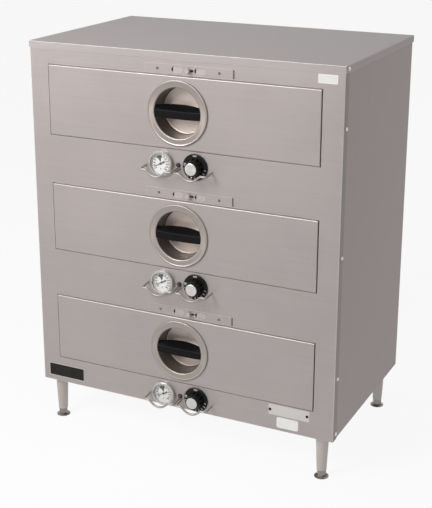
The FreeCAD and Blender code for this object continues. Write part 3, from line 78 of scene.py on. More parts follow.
class Graph:
    """Adds nodes to one node tree and joins them."""

    def __init__(self, tree):
        self.tree = tree

    def add(self, kind, inputs=None, **settings):
        """Makes a node. An input is a number, a colour, a vector or another node's output."""
        node = self.tree.nodes.new(kind)
        for name, value in settings.items():
            setattr(node, name, value)
        for name, value in (inputs or {}).items():
            self.feed(node, name, value)
        return node

    def feed(self, node, name, value):
        socket = node.inputs[name]
        if isinstance(value, bpy.types.NodeSocket):
            self.tree.links.new(value, socket)
        else:
            socket.default_value = value

    def math(self, operation, one, other=0.0):
        return self.add("ShaderNodeMath", {0: one, 1: other}, operation=operation).outputs[0]

    def vector(self, operation, one, other):
        return self.add("ShaderNodeVectorMath", {0: one, 1: other}, operation=operation).outputs[0]

    def stretch(self, value, low, high, to_low, to_high):
        """Maps one range to another and stops at its ends."""
        inputs = {"Value": value, "From Min": low, "From Max": high, "To Min": to_low, "To Max": to_high}
        return self.add("ShaderNodeMapRange", inputs).outputs["Result"]

    def noise(self, vector, scale, detail=2.0, roughness=0.5):
        inputs = {"Vector": vector, "Scale": scale, "Detail": detail, "Roughness": roughness}
        return self.add("ShaderNodeTexNoise", inputs).outputs["Fac"]

    def edges(self, radius):
        """One along the edges and folds of a piece, and nought on its flat faces."""
        rounded = self.add("ShaderNodeBevel", {"Radius": radius}, samples=6).outputs["Normal"]
        flat = self.add("ShaderNodeNewGeometry").outputs["Normal"]
        turned = self.add("ShaderNodeVectorMath", {0: rounded, 1: flat}, operation="DOT_PRODUCT")
        return self.stretch(turned.outputs["Value"], 0.998, 0.9, 0.0, 1.0)

    def folds(self):
        """One where a sheet bends from one flat face to the next."""
        normal = self.add("ShaderNodeNewGeometry").outputs["Normal"]
        parts = self.add("ShaderNodeSeparateXYZ", {"Vector": normal}).outputs
        across = self.math("ABSOLUTE", self.math("MULTIPLY", parts["X"], parts["Y"]))
        over = self.math("ABSOLUTE", self.math("MULTIPLY", parts["Z"], parts["Y"]))
        beside = self.math("ABSOLUTE", self.math("MULTIPLY", parts["Z"], parts["X"]))
        most = self.math("MAXIMUM", self.math("MAXIMUM", across, over), beside)
        return self.stretch(most, 0.15, 0.4, 0.0, 1.0)

    def shade(self, colour, factor):
        """A colour made lighter or darker by a factor."""
        return self.add("ShaderNodeVectorMath", {0: colour, "Scale": factor}, operation="SCALE").outputs[0]

    def blend(self, factor, one, other):
        inputs = {"Factor": factor, 6: one, 7: other}
        return self.add("ShaderNodeMix", inputs, data_type="RGBA").outputs[2]


def start_group(name, inputs, outputs):
    """An empty node group with its sockets. Each input is a name, a kind and a default."""
    tree = bpy.data.node_groups.new(name, "ShaderNodeTree")
    for label, kind, default in inputs:
        socket = tree.interface.new_socket(label, in_out="INPUT", socket_type=kind)
        socket.default_value = default
    for label, kind in outputs:
        tree.interface.new_socket(label, in_out="OUTPUT", socket_type=kind)
    graph = Graph(tree)
    return graph, graph.add("NodeGroupInput"), graph.add("NodeGroupOutput")


NUMBER, COLOUR, VECTOR = "NodeSocketFloat", "NodeSocketColor", "NodeSocketVector"
FINISH_OUTPUTS = (("Colour", COLOUR), ("Roughness", NUMBER), ("Height", NUMBER))


def grain_group():
    """Straight brushed grain with faint broad clouding, as rolled and polished sheet has it, with a painted
    highlight along edges and folds and painted light and shade on faces turned sideways or upward.
    """
    inputs = (
        ("Colour", COLOUR, (0.5, 0.5, 0.5, 1.0)),
        ("Grain", VECTOR, (10.0, 900.0, 900.0)),
        ("Grain Depth", NUMBER, 0.06),
        ("Cloud Depth", NUMBER, 0.05),
        ("Roughness", NUMBER, 0.4),
        ("Roughness Spread", NUMBER, 0.06),
        ("Edge Radius", NUMBER, 0.0012),
        ("Edge Light", NUMBER, 0.0),
        ("Side Gain", NUMBER, 1.0),
        ("Top Gain", NUMBER, 1.0),
    )
    graph, given, out = start_group("brushed_grain", inputs, FINISH_OUTPUTS)
    place = graph.add("ShaderNodeTexCoord").outputs["Object"]
    along = graph.vector("MULTIPLY", place, given.outputs["Grain"])
    fine = graph.noise(along, 1.0, 4.0, 0.6)
    broad = graph.noise(along, 0.22, 3.0, 0.55)
    lines = graph.math("ADD", graph.math("MULTIPLY", fine, 0.6), graph.math("MULTIPLY", broad, 0.4))
    cloud = graph.noise(place, 3.5, 4.0, 0.55)
    dark_line = graph.math("SUBTRACT", 1.0, given.outputs["Grain Depth"])
    light_line = graph.math("ADD", 1.0, given.outputs["Grain Depth"])
    dark_cloud = graph.math("SUBTRACT", 1.0, given.outputs["Cloud Depth"])
    light_cloud = graph.math("ADD", 1.0, given.outputs["Cloud Depth"])
    shade = graph.math(
        "MULTIPLY",
        graph.stretch(lines, 0.3, 0.7, dark_line, light_line),
        graph.stretch(cloud, 0.3, 0.7, dark_cloud, light_cloud),
    )
    spread = graph.math("MULTIPLY", graph.math("SUBTRACT", lines, 0.5), given.outputs["Roughness Spread"])
    smear = graph.math("MULTIPLY", graph.math("SUBTRACT", cloud, 0.5), given.outputs["Roughness Spread"])
    rough = graph.math("ADD", given.outputs["Roughness"], graph.math("ADD", spread, smear))
    # Edges and folds are coloured lighter by Edge Light: a painted highlight where the sheet bends.
    bright = graph.math("MAXIMUM", graph.edges(given.outputs["Edge Radius"]), graph.folds())
    painted_edge_highlight = graph.math("MULTIPLY", bright, given.outputs["Edge Light"])
    shade = graph.math("MULTIPLY", shade, graph.math("ADD", painted_edge_highlight, 1.0))
    # Faces turned sideways and faces turned upward have their colour scaled by their gains: painted light and
    # painted shade for how the light falls on them.
    normal = graph.add("ShaderNodeNewGeometry").outputs["Normal"]
    facing = graph.add("ShaderNodeSeparateXYZ", {"Vector": normal}).outputs
    painted_side_mask = graph.math("GREATER_THAN", graph.math("ABSOLUTE", facing["X"]), 0.9)
    painted_top_mask = graph.math("GREATER_THAN", facing["Z"], 0.9)
    for mask, label in ((painted_side_mask, "Side Gain"), (painted_top_mask, "Top Gain")):
        gain = graph.math("SUBTRACT", given.outputs[label], 1.0)
        shade = graph.math("MULTIPLY", shade, graph.math("ADD", graph.math("MULTIPLY", mask, gain), 1.0))
    graph.feed(out, "Colour", graph.shade(given.outputs["Colour"], shade))
    graph.feed(out, "Roughness", rough)
    graph.feed(out, "Height", lines)
    return graph.tree


def spun_group():
    """Fine rings about a centre, as a turned or spun face has them, for a face across the Y axis."""
    inputs = (
        ("Colour", COLOUR, (0.5, 0.5, 0.5, 1.0)),
        ("Centre", VECTOR, (0.0, 0.0, 0.0)),
        ("Rings", NUMBER, 900.0),
        ("Ring Depth", NUMBER, 0.08),
        ("Roughness", NUMBER, 0.3),
        ("Roughness Spread", NUMBER, 0.08),
        ("Inner Radius", NUMBER, 0.0),
        ("Inner Gain", NUMBER, 1.0),
    )
    graph, given, out = start_group("spun_rings", inputs, FINISH_OUTPUTS)
    place = graph.add("ShaderNodeTexCoord").outputs["Object"]
    away = graph.vector("SUBTRACT", place, given.outputs["Centre"])
    flat = graph.vector("MULTIPLY", away, (1.0, 0.0, 1.0))
    radius = graph.add("ShaderNodeVectorMath", {0: flat}, operation="LENGTH").outputs["Value"]
    along = graph.math("MULTIPLY", radius, given.outputs["Rings"])
    rings = graph.add("ShaderNodeTexNoise", {"W": along, "Scale": 1.0, "Detail": 3.0}, noise_dimensions="1D")
    lines = rings.outputs["Fac"]
    cloud = graph.noise(place, 40.0, 3.0, 0.5)
    dark = graph.math("SUBTRACT", 1.0, given.outputs["Ring Depth"])
    light = graph.math("ADD", 1.0, given.outputs["Ring Depth"])
    ring_shade = graph.stretch(lines, 0.3, 0.7, dark, light)
    shade = graph.math("MULTIPLY", ring_shade, graph.stretch(cloud, 0.3, 0.7, 0.97, 1.03))
    spread = graph.math("MULTIPLY", graph.math("SUBTRACT", lines, 0.5), given.outputs["Roughness Spread"])
    # Inside the inner radius the colour is scaled by Inner Gain, which lifts the cup's floor as painted light
    # above its painted-shade wall.
    inside = graph.math("LESS_THAN", radius, given.outputs["Inner Radius"])
    gain = graph.math("SUBTRACT", given.outputs["Inner Gain"], 1.0)
    shade = graph.math("MULTIPLY", shade, graph.math("ADD", graph.math("MULTIPLY", inside, gain), 1.0))
    graph.feed(out, "Colour", graph.shade(given.outputs["Colour"], shade))
    graph.feed(out, "Roughness", graph.math("ADD", given.outputs["Roughness"], spread))
    graph.feed(out, "Height", lines)
    return graph.tree


def mottle_group():
    """Fine pebbled texture with small changes of tone, as moulded plastic, enamel and rubber have it."""
    inputs = (
        ("Colour", COLOUR, (0.5, 0.5, 0.5, 1.0)),
        ("Grains", NUMBER, 1500.0),
        ("Tone Depth", NUMBER, 0.1),
        ("Roughness", NUMBER, 0.45),
        ("Roughness Spread", NUMBER, 0.1),
    )
    graph, given, out = start_group("moulded_mottle", inputs, FINISH_OUTPUTS)
    place = graph.add("ShaderNodeTexCoord").outputs["Object"]
    grains = graph.noise(place, given.outputs["Grains"], 3.0, 0.6)
    tone = graph.noise(place, 60.0, 4.0, 0.6)
    dark = graph.math("SUBTRACT", 1.0, given.outputs["Tone Depth"])
    light = graph.math("ADD", 1.0, given.outputs["Tone Depth"])
    spread = graph.math("MULTIPLY", graph.math("SUBTRACT", tone, 0.5), given.outputs["Roughness Spread"])
    shade = graph.stretch(tone, 0.3, 0.7, dark, light)
    graph.feed(out, "Colour", graph.shade(given.outputs["Colour"], shade))
    graph.feed(out, "Roughness", graph.math("ADD", given.outputs["Roughness"], spread))
    graph.feed(out, "Height", grains)
    return graph.tree


GROUPS = {"grain": grain_group, "spun": spun_group, "mottle": mottle_group}
built_groups = {}


def group_tree(kind):
    if kind not in built_groups:
        built_groups[kind] = GROUPS[kind]()
    return built_groups[kind]


def rgba(colour):
    return (*tuple(colour)[:3], 1.0)


def finish(name, kind, values, bump, distance, **sockets):
    """A material from one shared effect, with the shader's plain sockets given as numbers."""
    material = bpy.data.materials.new(name)
    material.use_nodes = True
    graph = Graph(material.node_tree)
    shader = material.node_tree.nodes["Principled BSDF"]
    effect = graph.add("ShaderNodeGroup", node_tree=group_tree(kind))
    for label, value in values.items():
        graph.feed(effect, label, value)
    height = effect.outputs["Height"]
    relief = graph.add("ShaderNodeBump", {"Height": height, "Strength": bump, "Distance": distance})
    graph.feed(shader, "Base Color", effect.outputs["Colour"])
    graph.feed(shader, "Roughness", effect.outputs["Roughness"])
    graph.feed(shader, "Normal", relief.outputs["Normal"])
    for label, value in sockets.items():
        graph.feed(shader, label.replace("_", " "), value)
    return material


# Grain along one axis, in features per metre
ALONG_X = (9.0, 1100.0, 1100.0)
ALONG_Z = (1100.0, 1100.0, 9.0)
ALONG_Y = (1100.0, 9.0, 1100.0)
UNBRUSHED = (260.0, 260.0, 260.0)


def sheet_steel(name, colour, grain, metal, depth=0.05, edge=0.0, gloss=0.25, side=1.0, top=1.0):
    # edge gives a painted highlight along edges and folds; side and top scale the colour of faces turned
    # sideways or upward as painted light or painted shade.
    values = {"Colour": rgba(colour), "Grain": grain, "Grain Depth": depth, "Roughness": 0.42}
    values.update({"Roughness Spread": 0.1, "Edge Light": edge, "Side Gain": side, "Top Gain": top})
    return finish(name, "grain", values, 0.06, 0.0001, Metallic=metal, Specular_IOR_Level=gloss)


def spun_steel(name, colour, centre, metal, roughness, inner=(0.0, 1.0)):
    """Turned metal. Its highlights fan out from the centre, as fine rings make them."""
    values = {"Colour": rgba(colour), "Centre": tuple(centre), "Roughness": roughness}
    values.update({"Inner Radius": inner[0], "Inner Gain": inner[1]})
    material = finish(name, "spun", values, 0.05, 0.0001, Metallic=metal, Anisotropic=0.7)
    graph = Graph(material.node_tree)
    along = graph.add("ShaderNodeTangent", direction_type="RADIAL", axis="Y").outputs["Tangent"]
    graph.feed(graph.tree.nodes["Principled BSDF"], "Tangent", along)
    return material


def bright_plate(name, colour, roughness, metal=0.8):
    values = {"Colour": rgba(colour), "Grain": UNBRUSHED, "Grain Depth": 0.03, "Roughness": roughness}
    return finish(name, "grain", values, 0.03, 0.00005, Metallic=metal)


def moulded(name, colour, roughness, grains=1500.0, bump=0.25, tone=0.12, **sockets):
    values = {"Colour": rgba(colour), "Grains": grains, "Tone Depth": tone, "Roughness": roughness}
    return finish(name, "mottle", values, bump, 0.0001, **sockets)


def clear_glass(name):
    """Thin flat glass that lets the light through to the dial."""
    return moulded(name, (0.95, 0.97, 0.97), 0.04, bump=0.0, tone=0.0, Alpha=0.05)


def coat(material, *nodes):
    """Gives CAD nodes a material in place of the one that they were packed with."""
    for node in nodes:
        slots = NODES[node].material_slots
        for slot in slots:
            slot.link = "OBJECT"
            slot.material = material


# Meshes

def piece(name, mesh, body, material):
    """Shows a mesh as a piece that rides on a body."""
    shown = bpy.data.objects.new(name, mesh)
    bpy.context.scene.collection.objects.link(shown)
    mesh.materials.clear()
    mesh.materials.append(material)
    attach(shown, body)
    return shown


def mesh_from(shape, name):
    mesh = bpy.data.meshes.new(name)
    shape.to_mesh(mesh)
    shape.free()
    return mesh


# Turns what is drawn in the XY plane to face the user, who looks along +Y
FACING = Matrix.Rotation(math.radians(90), 4, "X")


def lying_at(x, y, z, turn=0.0):
    """Places a flat drawing upright at a point, turned clockwise as the user sees it."""
    return Matrix.Translation((x, y, z)) @ FACING @ Matrix.Rotation(-turn, 4, "Z")


def add_outline(shape, corners, thickness, where):
    """A flat plate from its corners, its front on the drawing's plane and its body behind it."""
    front = [shape.verts.new(where @ Vector((x, y, 0))) for x, y in corners]
    back = [shape.verts.new(where @ Vector((x, y, -thickness))) for x, y in corners]
    shape.faces.new(front)
    shape.faces.new(back[::-1])
    count = len(corners)
    for number in range(count):
        following = (number + 1) % count
        shape.faces.new((front[number], back[number], back[following], front[following]))


def rounded(width, height, radius, steps=6):
    """Corners of a rounded rectangle about the origin, anticlockwise."""
    corners = []
    for quarter, (side, up) in enumerate(((1, -1), (1, 1), (-1, 1), (-1, -1))):
        centre_x = side * (width / 2 - radius)
        centre_y = up * (height / 2 - radius)
        for step in range(steps + 1):
            turn = math.radians(-90 + 90 * quarter + 90 * step / steps)
            corners.append((centre_x + radius * math.cos(turn), centre_y + radius * math.sin(turn)))
    return corners


def disc(radius, steps=32):
    """Corners of a circle about the origin, anticlockwise."""
    turns = [2 * math.pi * step / steps for step in range(steps)]
    return [(radius * math.cos(turn), radius * math.sin(turn)) for turn in turns]


def bar(width, height):
    """Corners of a rectangle about the origin, anticlockwise."""
    right, top = width / 2, height / 2
    return [(-right, -top), (right, -top), (right, top), (-right, top)]


def add_words(shape, words, height, thickness, where):
    """Plain figures or letters about the drawing's origin."""
    curve = bpy.data.curves.new("words", "FONT")
    curve.body = words
    curve.size = height / 0.7
    curve.align_x = "CENTER"
    curve.align_y = "CENTER"
    curve.extrude = thickness / 2
    curve.offset = height * 0.03
    curve.resolution_u = 3
    holder = bpy.data.objects.new("words", curve)
    bpy.context.scene.collection.objects.link(holder)
    bpy.context.view_layer.update()
    mesh = bpy.data.meshes.new_from_object(holder.evaluated_get(bpy.context.evaluated_depsgraph_get()))
    mesh.transform(where)
    shape.from_mesh(mesh)
    bpy.data.meshes.remove(mesh)
    bpy.data.objects.remove(holder)
    bpy.data.curves.remove(curve)


def around(centre_x, centre_z, radius, turn):
    """A point on a circle, with its angle clockwise from the top."""
    return centre_x + radius * math.sin(turn), centre_z + radius * math.cos(turn)


def add_turned(shape, profile, centre, steps=96):
    """Turns a closed profile of radius and depth behind the centre round an axis along Y."""
    rings = []
    for radius, depth in profile:
        if radius == 0:
            rings.append([shape.verts.new((centre.x, centre.y + depth, centre.z))])
            continue
        turns = [2 * math.pi * step / steps for step in range(steps)]
        places = [around(centre.x, centre.z, radius, turn) for turn in turns]
        rings.append([shape.verts.new((x, centre.y + depth, z)) for x, z in places])
    for one, other in zip(rings, rings[1:] + rings[:1]):
        for step in range(steps):
            following = (step + 1) % steps
            corners = [one[step % len(one)], one[following % len(one)]]
            corners += [other[following % len(other)], other[step % len(other)]]
            corners = list(dict.fromkeys(corners))
            if len(corners) > 2:
                shape.faces.new(corners)
    bmesh.ops.recalc_face_normals(shape, faces=shape.faces)


def bent_path(corners, bends, steps=8):
    """Points along straight runs with a bend of its own at each inner corner."""
    path = [corners[0]]
    for before, corner, after, bend in zip(corners, corners[1:], corners[2:], bends):
        way_in = (before - corner).normalized()
        way_out = (after - corner).normalized()
        half = way_in.angle(way_out) / 2
        reach = bend / math.tan(half)
        middle_way = (way_in + way_out).normalized()
        heart = corner + middle_way * bend / math.sin(half)
        first = corner + way_in * reach - heart
        last = corner + way_out * reach - heart
        path += [heart + first.slerp(last, step / steps) * bend for step in range(steps + 1)]
    return path + [corners[-1]]


def add_rod(shape, path, radius):
    """A round rod along a path, closed at its ends."""
    curve = bpy.data.curves.new("rod", "CURVE")
    curve.dimensions = "3D"
    curve.bevel_depth = radius
    curve.bevel_resolution = 5
    curve.use_fill_caps = True
    run = curve.splines.new("POLY")
    run.points.add(len(path) - 1)
    for point, place in zip(run.points, path):
        point.co = (*place, 1.0)
    holder = bpy.data.objects.new("rod", curve)
    bpy.context.scene.collection.objects.link(holder)
    bpy.context.view_layer.update()
    mesh = bpy.data.meshes.new_from_object(holder.evaluated_get(bpy.context.evaluated_depsgraph_get()))
    shape.from_mesh(mesh)
    bpy.data.meshes.remove(mesh)
    bpy.data.objects.remove(holder)
    bpy.data.curves.remove(curve)


def smooth(mesh, angle=35):
    """Shades a mesh smooth and keeps its sharp edges."""
    mesh.shade_smooth()
    mesh.set_sharp_from_angle(angle=math.radians(angle))
    return mesh


# Settings

class FinishSettings(bpy.types.PropertyGroup):
    """Colours of the warmer's finishes."""

    steel: FloatVectorProperty(
        name="Brushed Steel", description="Outer sheets and drawer fronts", subtype="COLOR",
        default=(0.43, 0.383, 0.375), min=0.0, max=1.0,
    )
    # Set together with the cover's painted shade on its broad top and painted light on its lip.
    cover: FloatVectorProperty(
        name="Top Cover", description="Brushed sheet of the top", subtype="COLOR",
        default=(0.46, 0.415, 0.412), min=0.0, max=1.0,
    )
    # Darker than the front steel: painted shade on the side panels.
    side: FloatVectorProperty(
        name="Side Panel", description="Brushed sheet of the sides", subtype="COLOR",
        default=(0.365, 0.305, 0.297), min=0.0, max=1.0,
    )
    sheet_metal: FloatProperty(
        name="Sheet Gloss", description="How metallic the brushed sheet looks",
        default=0.45, min=0.0, max=1.0, subtype="FACTOR",
    )
    # Painted highlight: how much lighter the folds and edges of the sheets are coloured.
    edge_light: FloatProperty(
        name="Edge Light", description="How much brighter the folds and edges of the sheets are",
        default=0.6, min=0.0, max=2.0,
    )
    leg: FloatVectorProperty(
        name="Leg", description="Satin plating of the legs", subtype="COLOR",
        default=(0.51, 0.458, 0.425), min=0.0, max=1.0,
    )
    foot: FloatVectorProperty(
        name="Foot", description="Plating of the levelling feet", subtype="COLOR",
        default=(0.27, 0.240, 0.220), min=0.0, max=1.0,
    )
    stop: FloatVectorProperty(
        name="Drawer Stop", description="Strips behind the gaps round the drawers", subtype="COLOR",
        default=(0.40, 0.345, 0.335), min=0.0, max=1.0,
    )
    ring: FloatVectorProperty(
        name="Handle Ring", description="Brushed rings of the handles", subtype="COLOR",
        default=(0.36, 0.315, 0.290), min=0.0, max=1.0,
    )
    # Dark wall colour: painted shade and painted dark reflection inside the cups.
    cup: FloatVectorProperty(
        name="Hand Cup", description="Walls of the cups behind the rings", subtype="COLOR",
        default=(0.155, 0.131, 0.117), min=0.0, max=1.0,
    )
    guard: FloatVectorProperty(
        name="Wire Guard", description="Bent wires under the controls", subtype="COLOR",
        default=(0.38, 0.345, 0.325), min=0.0, max=1.0,
    )
    plastic: FloatVectorProperty(
        name="Black Plastic", description="Handle bars and knobs", subtype="COLOR",
        default=(0.006, 0.0055, 0.0055), min=0.0, max=1.0,
    )
    enamel: FloatVectorProperty(
        name="White Enamel", description="Dial plates", subtype="COLOR",
        default=(0.93, 0.92, 0.90), min=0.0, max=1.0,
    )


class PartSettings(bpy.types.PropertyGroup):
    """Sizes of the pieces that stand in for plainer ones."""

    bar_height: FloatProperty(
        name="Bar Height", description="Height of a grip bar's front", default=0.0185, unit="LENGTH"
    )
    bar_rise: FloatProperty(
        name="Bar Rise", description="How far a grip bar rises to its back", default=0.012, unit="LENGTH"
    )
    bar_depth: FloatProperty(
        name="Bar Depth", description="Depth of a grip bar at its middle", default=0.0265, unit="LENGTH"
    )
    bar_end_depth: FloatProperty(
        name="Bar End Depth", description="Depth of a grip bar at its ends", default=0.013, unit="LENGTH"
    )
    wire: FloatProperty(
        name="Guard Wire", description="Thickness of a guard's wire", default=0.0048, unit="LENGTH"
    )
    guard_span: FloatProperty(
        name="Guard Span", description="Distance between a guard's legs", default=0.075, unit="LENGTH"
    )
    guard_reach: FloatProperty(
        name="Guard Reach", description="How far a guard stands out", default=0.031, unit="LENGTH"
    )
    guard_dip: FloatProperty(
        name="Guard Dip", description="How far a guard's bow hangs down", default=0.020, unit="LENGTH"
    )


class MarkSettings(bpy.types.PropertyGroup):
    """Sizes of the printed marks."""

    dial_figure: FloatProperty(
        name="Dial Figure", description="Height of a figure on a dial", default=0.0034, unit="LENGTH"
    )
    knob_figure: FloatProperty(
        name="Knob Figure", description="Height of a figure on a knob's skirt", default=0.0050, unit="LENGTH"
    )
    unit_letter: FloatProperty(
        name="Unit Letter", description="Height of a dial's F", default=0.0036, unit="LENGTH"
    )
    off_word: FloatProperty(
        name="Off Word", description="Height of OFF on a knob's skirt", default=0.0036, unit="LENGTH"
    )
    ink: FloatProperty(
        name="Ink", description="Thickness of a printed mark", default=0.00012, unit="LENGTH"
    )


class StudioSettings(bpy.types.PropertyGroup):
    """Light, floor and camera."""

    floor_colour: FloatVectorProperty(
        name="Floor", description="Floor and surroundings", subtype="COLOR",
        default=(0.85, 0.85, 0.85), min=0.0, max=1.0,
    )
    key_power: FloatProperty(name="Key", description="Lamp at the front left", default=50.0, unit="POWER")
    fill_power: FloatProperty(name="Fill", description="Lamp at the front right", default=3.0, unit="POWER")
    top_power: FloatProperty(name="Top", description="Lamp above", default=32.0, unit="POWER")
    back_power: FloatProperty(name="Back", description="Lamp behind", default=1.5, unit="POWER")
    ambient: FloatProperty(name="Ambient", description="Light from all around", default=0.12, min=0.0)
    lens: FloatProperty(name="Lens", description="Focal length", default=81.7, subtype="DISTANCE_CAMERA")


SETTINGS = {
    "warmer_finish": FinishSettings,
    "warmer_parts": PartSettings,
    "warmer_marks": MarkSettings,
    "warmer_studio": StudioSettings,
}


# Operators


class WARMER_OT_casing(bpy.types.Operator):
    """Finishes the outer sheets, the compartments and the screws"""

    bl_idname = "warmer.casing"
    bl_label = "Casing"

    def execute(self, context):
        look = context.scene.warmer_finish
        edge = look.edge_light
        # The front frame's side returns are coloured darker by 0.6 as painted shade, and its edges and folds
        # get the painted highlight.
        outer = sheet_steel("casing_steel", look.steel, ALONG_X, look.sheet_metal, edge=edge, side=0.6)
        coat(outer, "front_frame")
        # The cover's broad top is coloured darker by 0.78 as painted shade, and its turned-down lip lighter
        # by 1.35 as painted light.
        cover_painted_tones = {"edge": edge, "gloss": 0.1, "side": 1.35, "top": 0.78}
        cover = sheet_steel("cover_steel", look.cover, ALONG_X, 0.2, **cover_painted_tones)
        coat(cover, "top_cover")
        # The side panels take the darker side colour, a painted shade.
        side = sheet_steel("side_steel", look.side, ALONG_Z, look.sheet_metal, edge=edge)
        coat(side, "left_side_panel", "right_side_panel")
        dull = sheet_steel("galvanised_sheet", (0.47, 0.48, 0.49), UNBRUSHED, 0.5, 0.12)
        coat(dull, "back_panel", "base_pan", *[f"compartment_liner_{number}" for number in STATIONS])
        coat(screw_plating(), "case_screws")
        add_stops(sheet_steel("stop_steel", look.stop, ALONG_X, 0.3))
        wool = moulded("mineral_wool", (0.62, 0.52, 0.28), 0.95, 400.0, 1.0, 0.3)
        coat(wool, "insulation")
        coat(moulded("inlet_rubber", (0.02, 0.02, 0.02), 0.6, 900.0), "cord_bushing")
        coat(moulded("block_plastic", (0.03, 0.027, 0.025), 0.4), "terminal_block")
        sheath = sheet_steel("heater_sheath", (0.14, 0.12, 0.11), UNBRUSHED, 0.7, 0.15)
        coat(sheath, "heating_elements")
        zinc = sheet_steel("slide_zinc", (0.55, 0.56, 0.58), ALONG_Y, 0.8)
        coat(zinc, "slide_channels", *[f"slide_middle_{number}" for number in STATIONS])
        coat(moulded("thermostat_housing", (0.35, 0.24, 0.15), 0.45), "thermostats")
        return {"FINISHED"}


def add_stops(material):
    """A narrow stop strip round each drawer's opening, a little behind the frame's face."""
    width, thickness, clear = 0.0015, 0.001, 0.0003
    rail_depth, post_depth = 0.0016, 0.0048
    shape = bmesh.new()
    for number in STATIONS:
        low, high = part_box(f"drawer_front_{number}")
        x, z = (low.x + high.x) / 2, (low.z + high.z) / 2
        across = high.x - low.x + 2 * clear
        up = high.z - low.z + 2 * clear
        for side in (-1, 1):
            post = lying_at(x + side * (across + width) / 2, FACE + post_depth, z)
            add_outline(shape, bar(width, up + 2 * width), thickness, post)
            rail = lying_at(x, FACE + rail_depth, z + side * (up + width) / 2)
            add_outline(shape, bar(across, width), thickness, rail)
    piece("drawer_stops", mesh_from(shape, "drawer_stops"), "cabinet", material)


def screw_plating():
    """Bright plating, and dark on the small screws of the vents near the middle of the cabinet."""
    plated, dull, vent_reach = (0.62, 0.60, 0.58, 1.0), (0.20, 0.165, 0.145, 1.0), 0.15
    material = bright_plate("screw_plating", plated, 0.25)
    graph = Graph(material.node_tree)
    effect = next(node for node in graph.tree.nodes if node.type == "GROUP")
    place = graph.add("ShaderNodeTexCoord").outputs["Object"]
    x = graph.add("ShaderNodeSeparateXYZ", {"Vector": place}).outputs["X"]
    of_vent = graph.math("LESS_THAN", graph.math("ABSOLUTE", x), vent_reach)
    graph.feed(effect, "Colour", graph.blend(of_vent, plated, dull))
    return material


class WARMER_OT_legs(bpy.types.Operator):
    """Finishes the legs and the levelling feet"""

    bl_idname = "warmer.legs"
    bl_label = "Legs and Feet"

    def execute(self, context):
        look = context.scene.warmer_finish
        coat(bright_plate("leg_plating", look.leg, 0.36, 0.45), "legs")
        foot = bright_plate("foot_plating", look.foot, 0.22)
        coat(foot, *[node for node in NODES if node.startswith("foot_")])
        return {"FINISHED"}


class WARMER_OT_drawers(bpy.types.Operator):
    """Finishes the drawers, their handles, carriages and pans"""

    bl_idname = "warmer.drawers"
    bl_label = "Drawers"

    def execute(self, context):
        look = context.scene.warmer_finish
        # A third of the edge light: a painted highlight along the drawer fronts' edges and folds.
        front = sheet_steel("drawer_steel", look.steel, ALONG_X, look.sheet_metal, edge=look.edge_light / 3)
        inner = sheet_steel("carriage_steel", (0.52, 0.51, 0.50), ALONG_Y, 0.6)
        pan = sheet_steel("pan_steel", (0.60, 0.59, 0.58), ALONG_X, 0.85)
        grip = moulded("grip_plastic", look.plastic, 0.45, 1800.0, 0.1, Specular_IOR_Level=0.1)
        for number in STATIONS:
            coat(front, f"drawer_front_{number}")
            coat(inner, f"drawer_carriage_{number}")
            coat(pan, f"food_pan_{number}")
            make_handle(number, look)
            make_bar(number, grip, context.scene.warmer_parts)
        return {"FINISHED"}


# Section of the handle's ring and of its hand cup, as radius and depth behind the ring's front
RING_SECTION = (
    (0.0710, 0.0045), (0.0710, 0.0026), (0.0706, 0.0014), (0.0698, 0.0005), (0.0688, 0.0001),
    (0.0678, 0.0003), (0.0671, 0.0009), (0.0664, 0.0011), (0.0580, 0.0007), (0.0564, 0.0008),
    (0.0553, 0.0013), (0.0546, 0.0022), (0.0545, 0.0045),
)
CUP_SECTION = (
    (0.0545, 0.0045), (0.0532, 0.0200), (0.0520, 0.0370), (0.0517, 0.0388), (0.0510, 0.0399),
    (0.0500, 0.0404), (0.0490, 0.0405), (0.0, 0.0405), (0.0, 0.0417), (0.0500, 0.0417),
    (0.0518, 0.0412), (0.0529, 0.0395), (0.0532, 0.0372), (0.0544, 0.0200), (0.0557, 0.0045),
)
# The cup's wall is coloured dark as painted shade, standing in for the dark room that it mirrors, and its
# floor is lifted by this gain as painted light
CUP_FLOOR_RADIUS = 0.0507
CUP_FLOOR_PAINTED_LIGHT_GAIN = 5.3


def make_handle(number, look):
    """A ring with a rolled rim, and the drawn cup behind it."""
    centre = middle(f"handle_cup_{number}")
    centre.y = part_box(f"handle_cup_{number}")[0].y
    spun = spun_steel(f"ring_steel_{number}", look.ring, centre, 0.75, 0.36)
    floor = (CUP_FLOOR_RADIUS, CUP_FLOOR_PAINTED_LIGHT_GAIN)
    drawn = spun_steel(f"cup_steel_{number}", look.cup, centre, 0.4, 0.4, floor)
    for name, section, metal in (("handle_ring", RING_SECTION, spun), ("hand_cup", CUP_SECTION, drawn)):
        shape = bmesh.new()
        add_turned(shape, section, centre)
        mesh = smooth(mesh_from(shape, name))
        part = piece(f"{name}_{number}", mesh, f"drawer_{number}", metal)
        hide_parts(f"handle_cup_{number}")


